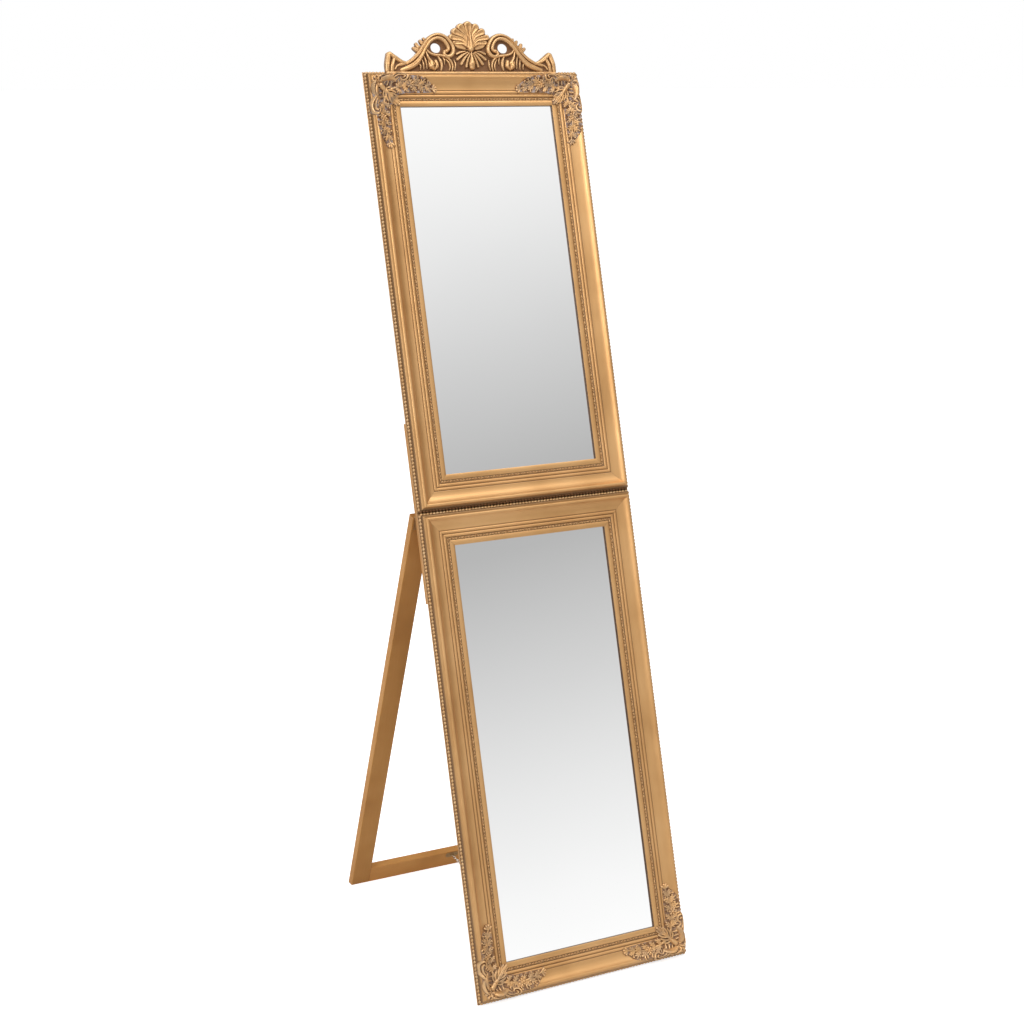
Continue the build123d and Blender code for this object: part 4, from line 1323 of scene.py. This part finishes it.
# ---------------------------------------------------------------- stage, light, camera
FLOOR_LIFT = 0.72  # brightens the floor for the lens only
pale = Nodes("floor_white")
pale.put((1.0, 1.0, 1.0), pale.shader.inputs["Emission Color"])
lens_ray = pale.add("ShaderNodeLightPath").outputs["Is Camera Ray"]
pale.put(pale.times(lens_ray, FLOOR_LIFT), pale.shader.inputs["Emission Strength"])
pale.finish((0.76, 0.77, 0.79), 0.75, 0.0)
floor_mesh = bpy.data.meshes.new("floor")
FLOOR_REACH = 30  # metres
outline = [(x * FLOOR_REACH, y * FLOOR_REACH, 0) for x, y in ((-1, -1), (1, -1), (1, 1), (-1, 1))]
floor_mesh.from_pydata(outline, [], [(0, 1, 2, 3)])
floor = bpy.data.objects.new("floor", floor_mesh)
floor.location.z = cad_box[0][2] - 0.0002
floor_mesh.materials.append(pale.material)
bpy.context.scene.collection.objects.link(floor)


WHITE = (1.0, 1.0, 1.0)
ROOM = (0.27, 0.205, 0.135)
FLAG_ELEVATION = 15.8  # degrees, of the middle of a grey flag in front of the mirrors
FLAG_REACH = 18.0  # degrees
FLAG_STOPS = ((0.0, 0.475), (1.0, 0.49), (5.0, 0.68), (8.0, 0.84), (11.0, 0.97), (13.0, 1.03))
LIT_SIDE = (-0.33, -0.76, 0.56)
LIT_RANGE = (0.10, 0.52)
LOW_LEFT_SHADE = 0.9


def make_world():
    """A white studio that is bright in front and above, and a dim warm room on the other sides."""
    world = bpy.data.worlds.new("studio")
    bpy.context.scene.world = world
    world.use_nodes = True
    t = Tree(world.node_tree)

    def rise(value, low, high):
        """0 at low and 1 at high, with a soft step between."""
        ends = (0.0, 1.0) if low < high else (1.0, 0.0)
        return t.stretch(value, min(low, high), max(low, high), *ends, interpolation_type="SMOOTHSTEP")

    split = t.add("ShaderNodeSeparateXYZ")
    t.put(t.add("ShaderNodeTexCoord").outputs["Generated"], split.inputs[0])
    x, y, z = split.outputs
    elevation = t.times(t.maths("ARCSINE", z), 180 / math.pi)
    offset = t.maths("ABSOLUTE", t.maths("SUBTRACT", elevation, FLAG_ELEVATION))
    stops = [(degrees / FLAG_REACH, value) for degrees, value in FLAG_STOPS]
    flag = t.ramp(t.maths("DIVIDE", offset, FLAG_REACH), *stops)
    studio = t.mix(rise(y, -0.1, -0.4), WHITE, flag)
    # The lit part of the studio, and a dark flag low on the left of it.
    toward = t.maths("ADD", t.times(x, LIT_SIDE[0]), t.times(y, LIT_SIDE[1]))
    toward = t.maths("ADD", toward, t.times(z, LIT_SIDE[2]))
    low_left = t.maths("MULTIPLY", rise(x, -0.15, -0.5), rise(z, 0.30, 0.08))
    unshaded = t.maths("SUBTRACT", 1.0, t.times(low_left, LOW_LEFT_SHADE))
    lit = t.maths("MULTIPLY", rise(toward, *LIT_RANGE), unshaded)
    room = t.mix(lit, ROOM, studio)
    # The background is plain white where the lens looks straight at it.
    seen = t.add("ShaderNodeLightPath").outputs["Is Camera Ray"]
    background = t.tree.nodes["Background"]
    t.put(t.mix(seen, room, WHITE), background.inputs["Color"])
    t.put(1.0, background.inputs["Strength"])


make_world()


def soft_box(name, position, target, size, power):
    light = bpy.data.lights.new(name, "AREA")
    light.shape = "RECTANGLE"
    light.size, light.size_y = size
    light.energy = power
    obj = bpy.data.objects.new(name, light)
    obj.location = position
    obj.rotation_euler = (Vector(target) - Vector(position)).to_track_quat("-Z", "Y").to_euler()
    bpy.context.scene.collection.objects.link(obj)


soft_box("key_left", (-3.2, -1.6, 2.6), (0, 0, 0.9), (1.6, 2.4), 55)
soft_box("top_soft", (0.3, -1.2, 3.9), (0, 0, 0.9), (2.4, 1.6), 40)
soft_box("back_soft", (-0.8, 3.4, 2.2), (0, 0, 0.9), (2.4, 2.4), 60)

# The camera's place, in mm from the middle of the panels' bottom back edge.
CAMERA_U, CAMERA_BACK, CAMERA_HEIGHT = -1744.3, -2799.3, 1770.7
CAMERA_HEADING = math.radians(29.24)
CAMERA_DIP = math.radians(14.873)
CAMERA_ROLL = math.radians(1.363)
FOCAL_PIXELS = 1952.53
IMAGE_PIXELS = 1024
SENSOR_WIDTH = 36.0
camera_data = bpy.data.cameras.new("camera")
camera_data.sensor_width = SENSOR_WIDTH
camera_data.lens = FOCAL_PIXELS / IMAGE_PIXELS * SENSOR_WIDTH
camera_data.clip_end = 100
camera = bpy.data.objects.new("camera", camera_data)
forward = Vector((
    math.sin(CAMERA_HEADING) * math.cos(CAMERA_DIP),
    math.cos(CAMERA_HEADING) * math.cos(CAMERA_DIP),
    -math.sin(CAMERA_DIP),
))
level = forward.cross(Vector((0, 0, 1))).normalized()
above = level.cross(forward)
side = level * math.cos(CAMERA_ROLL) + above * math.sin(CAMERA_ROLL)
top = above * math.cos(CAMERA_ROLL) - level * math.sin(CAMERA_ROLL)
camera_spot = [EDGE[i] + MM * (CAMERA_U, CAMERA_BACK, CAMERA_HEIGHT)[i] for i in range(3)]
turned = Matrix([[side[i], top[i], -forward[i]] for i in range(3)])
camera.matrix_world = Matrix.Translation(camera_spot) @ turned.to_4x4()
bpy.context.scene.collection.objects.link(camera)
bpy.context.scene.camera = camera
bpy.context.scene.view_settings.view_transform = "Standard"
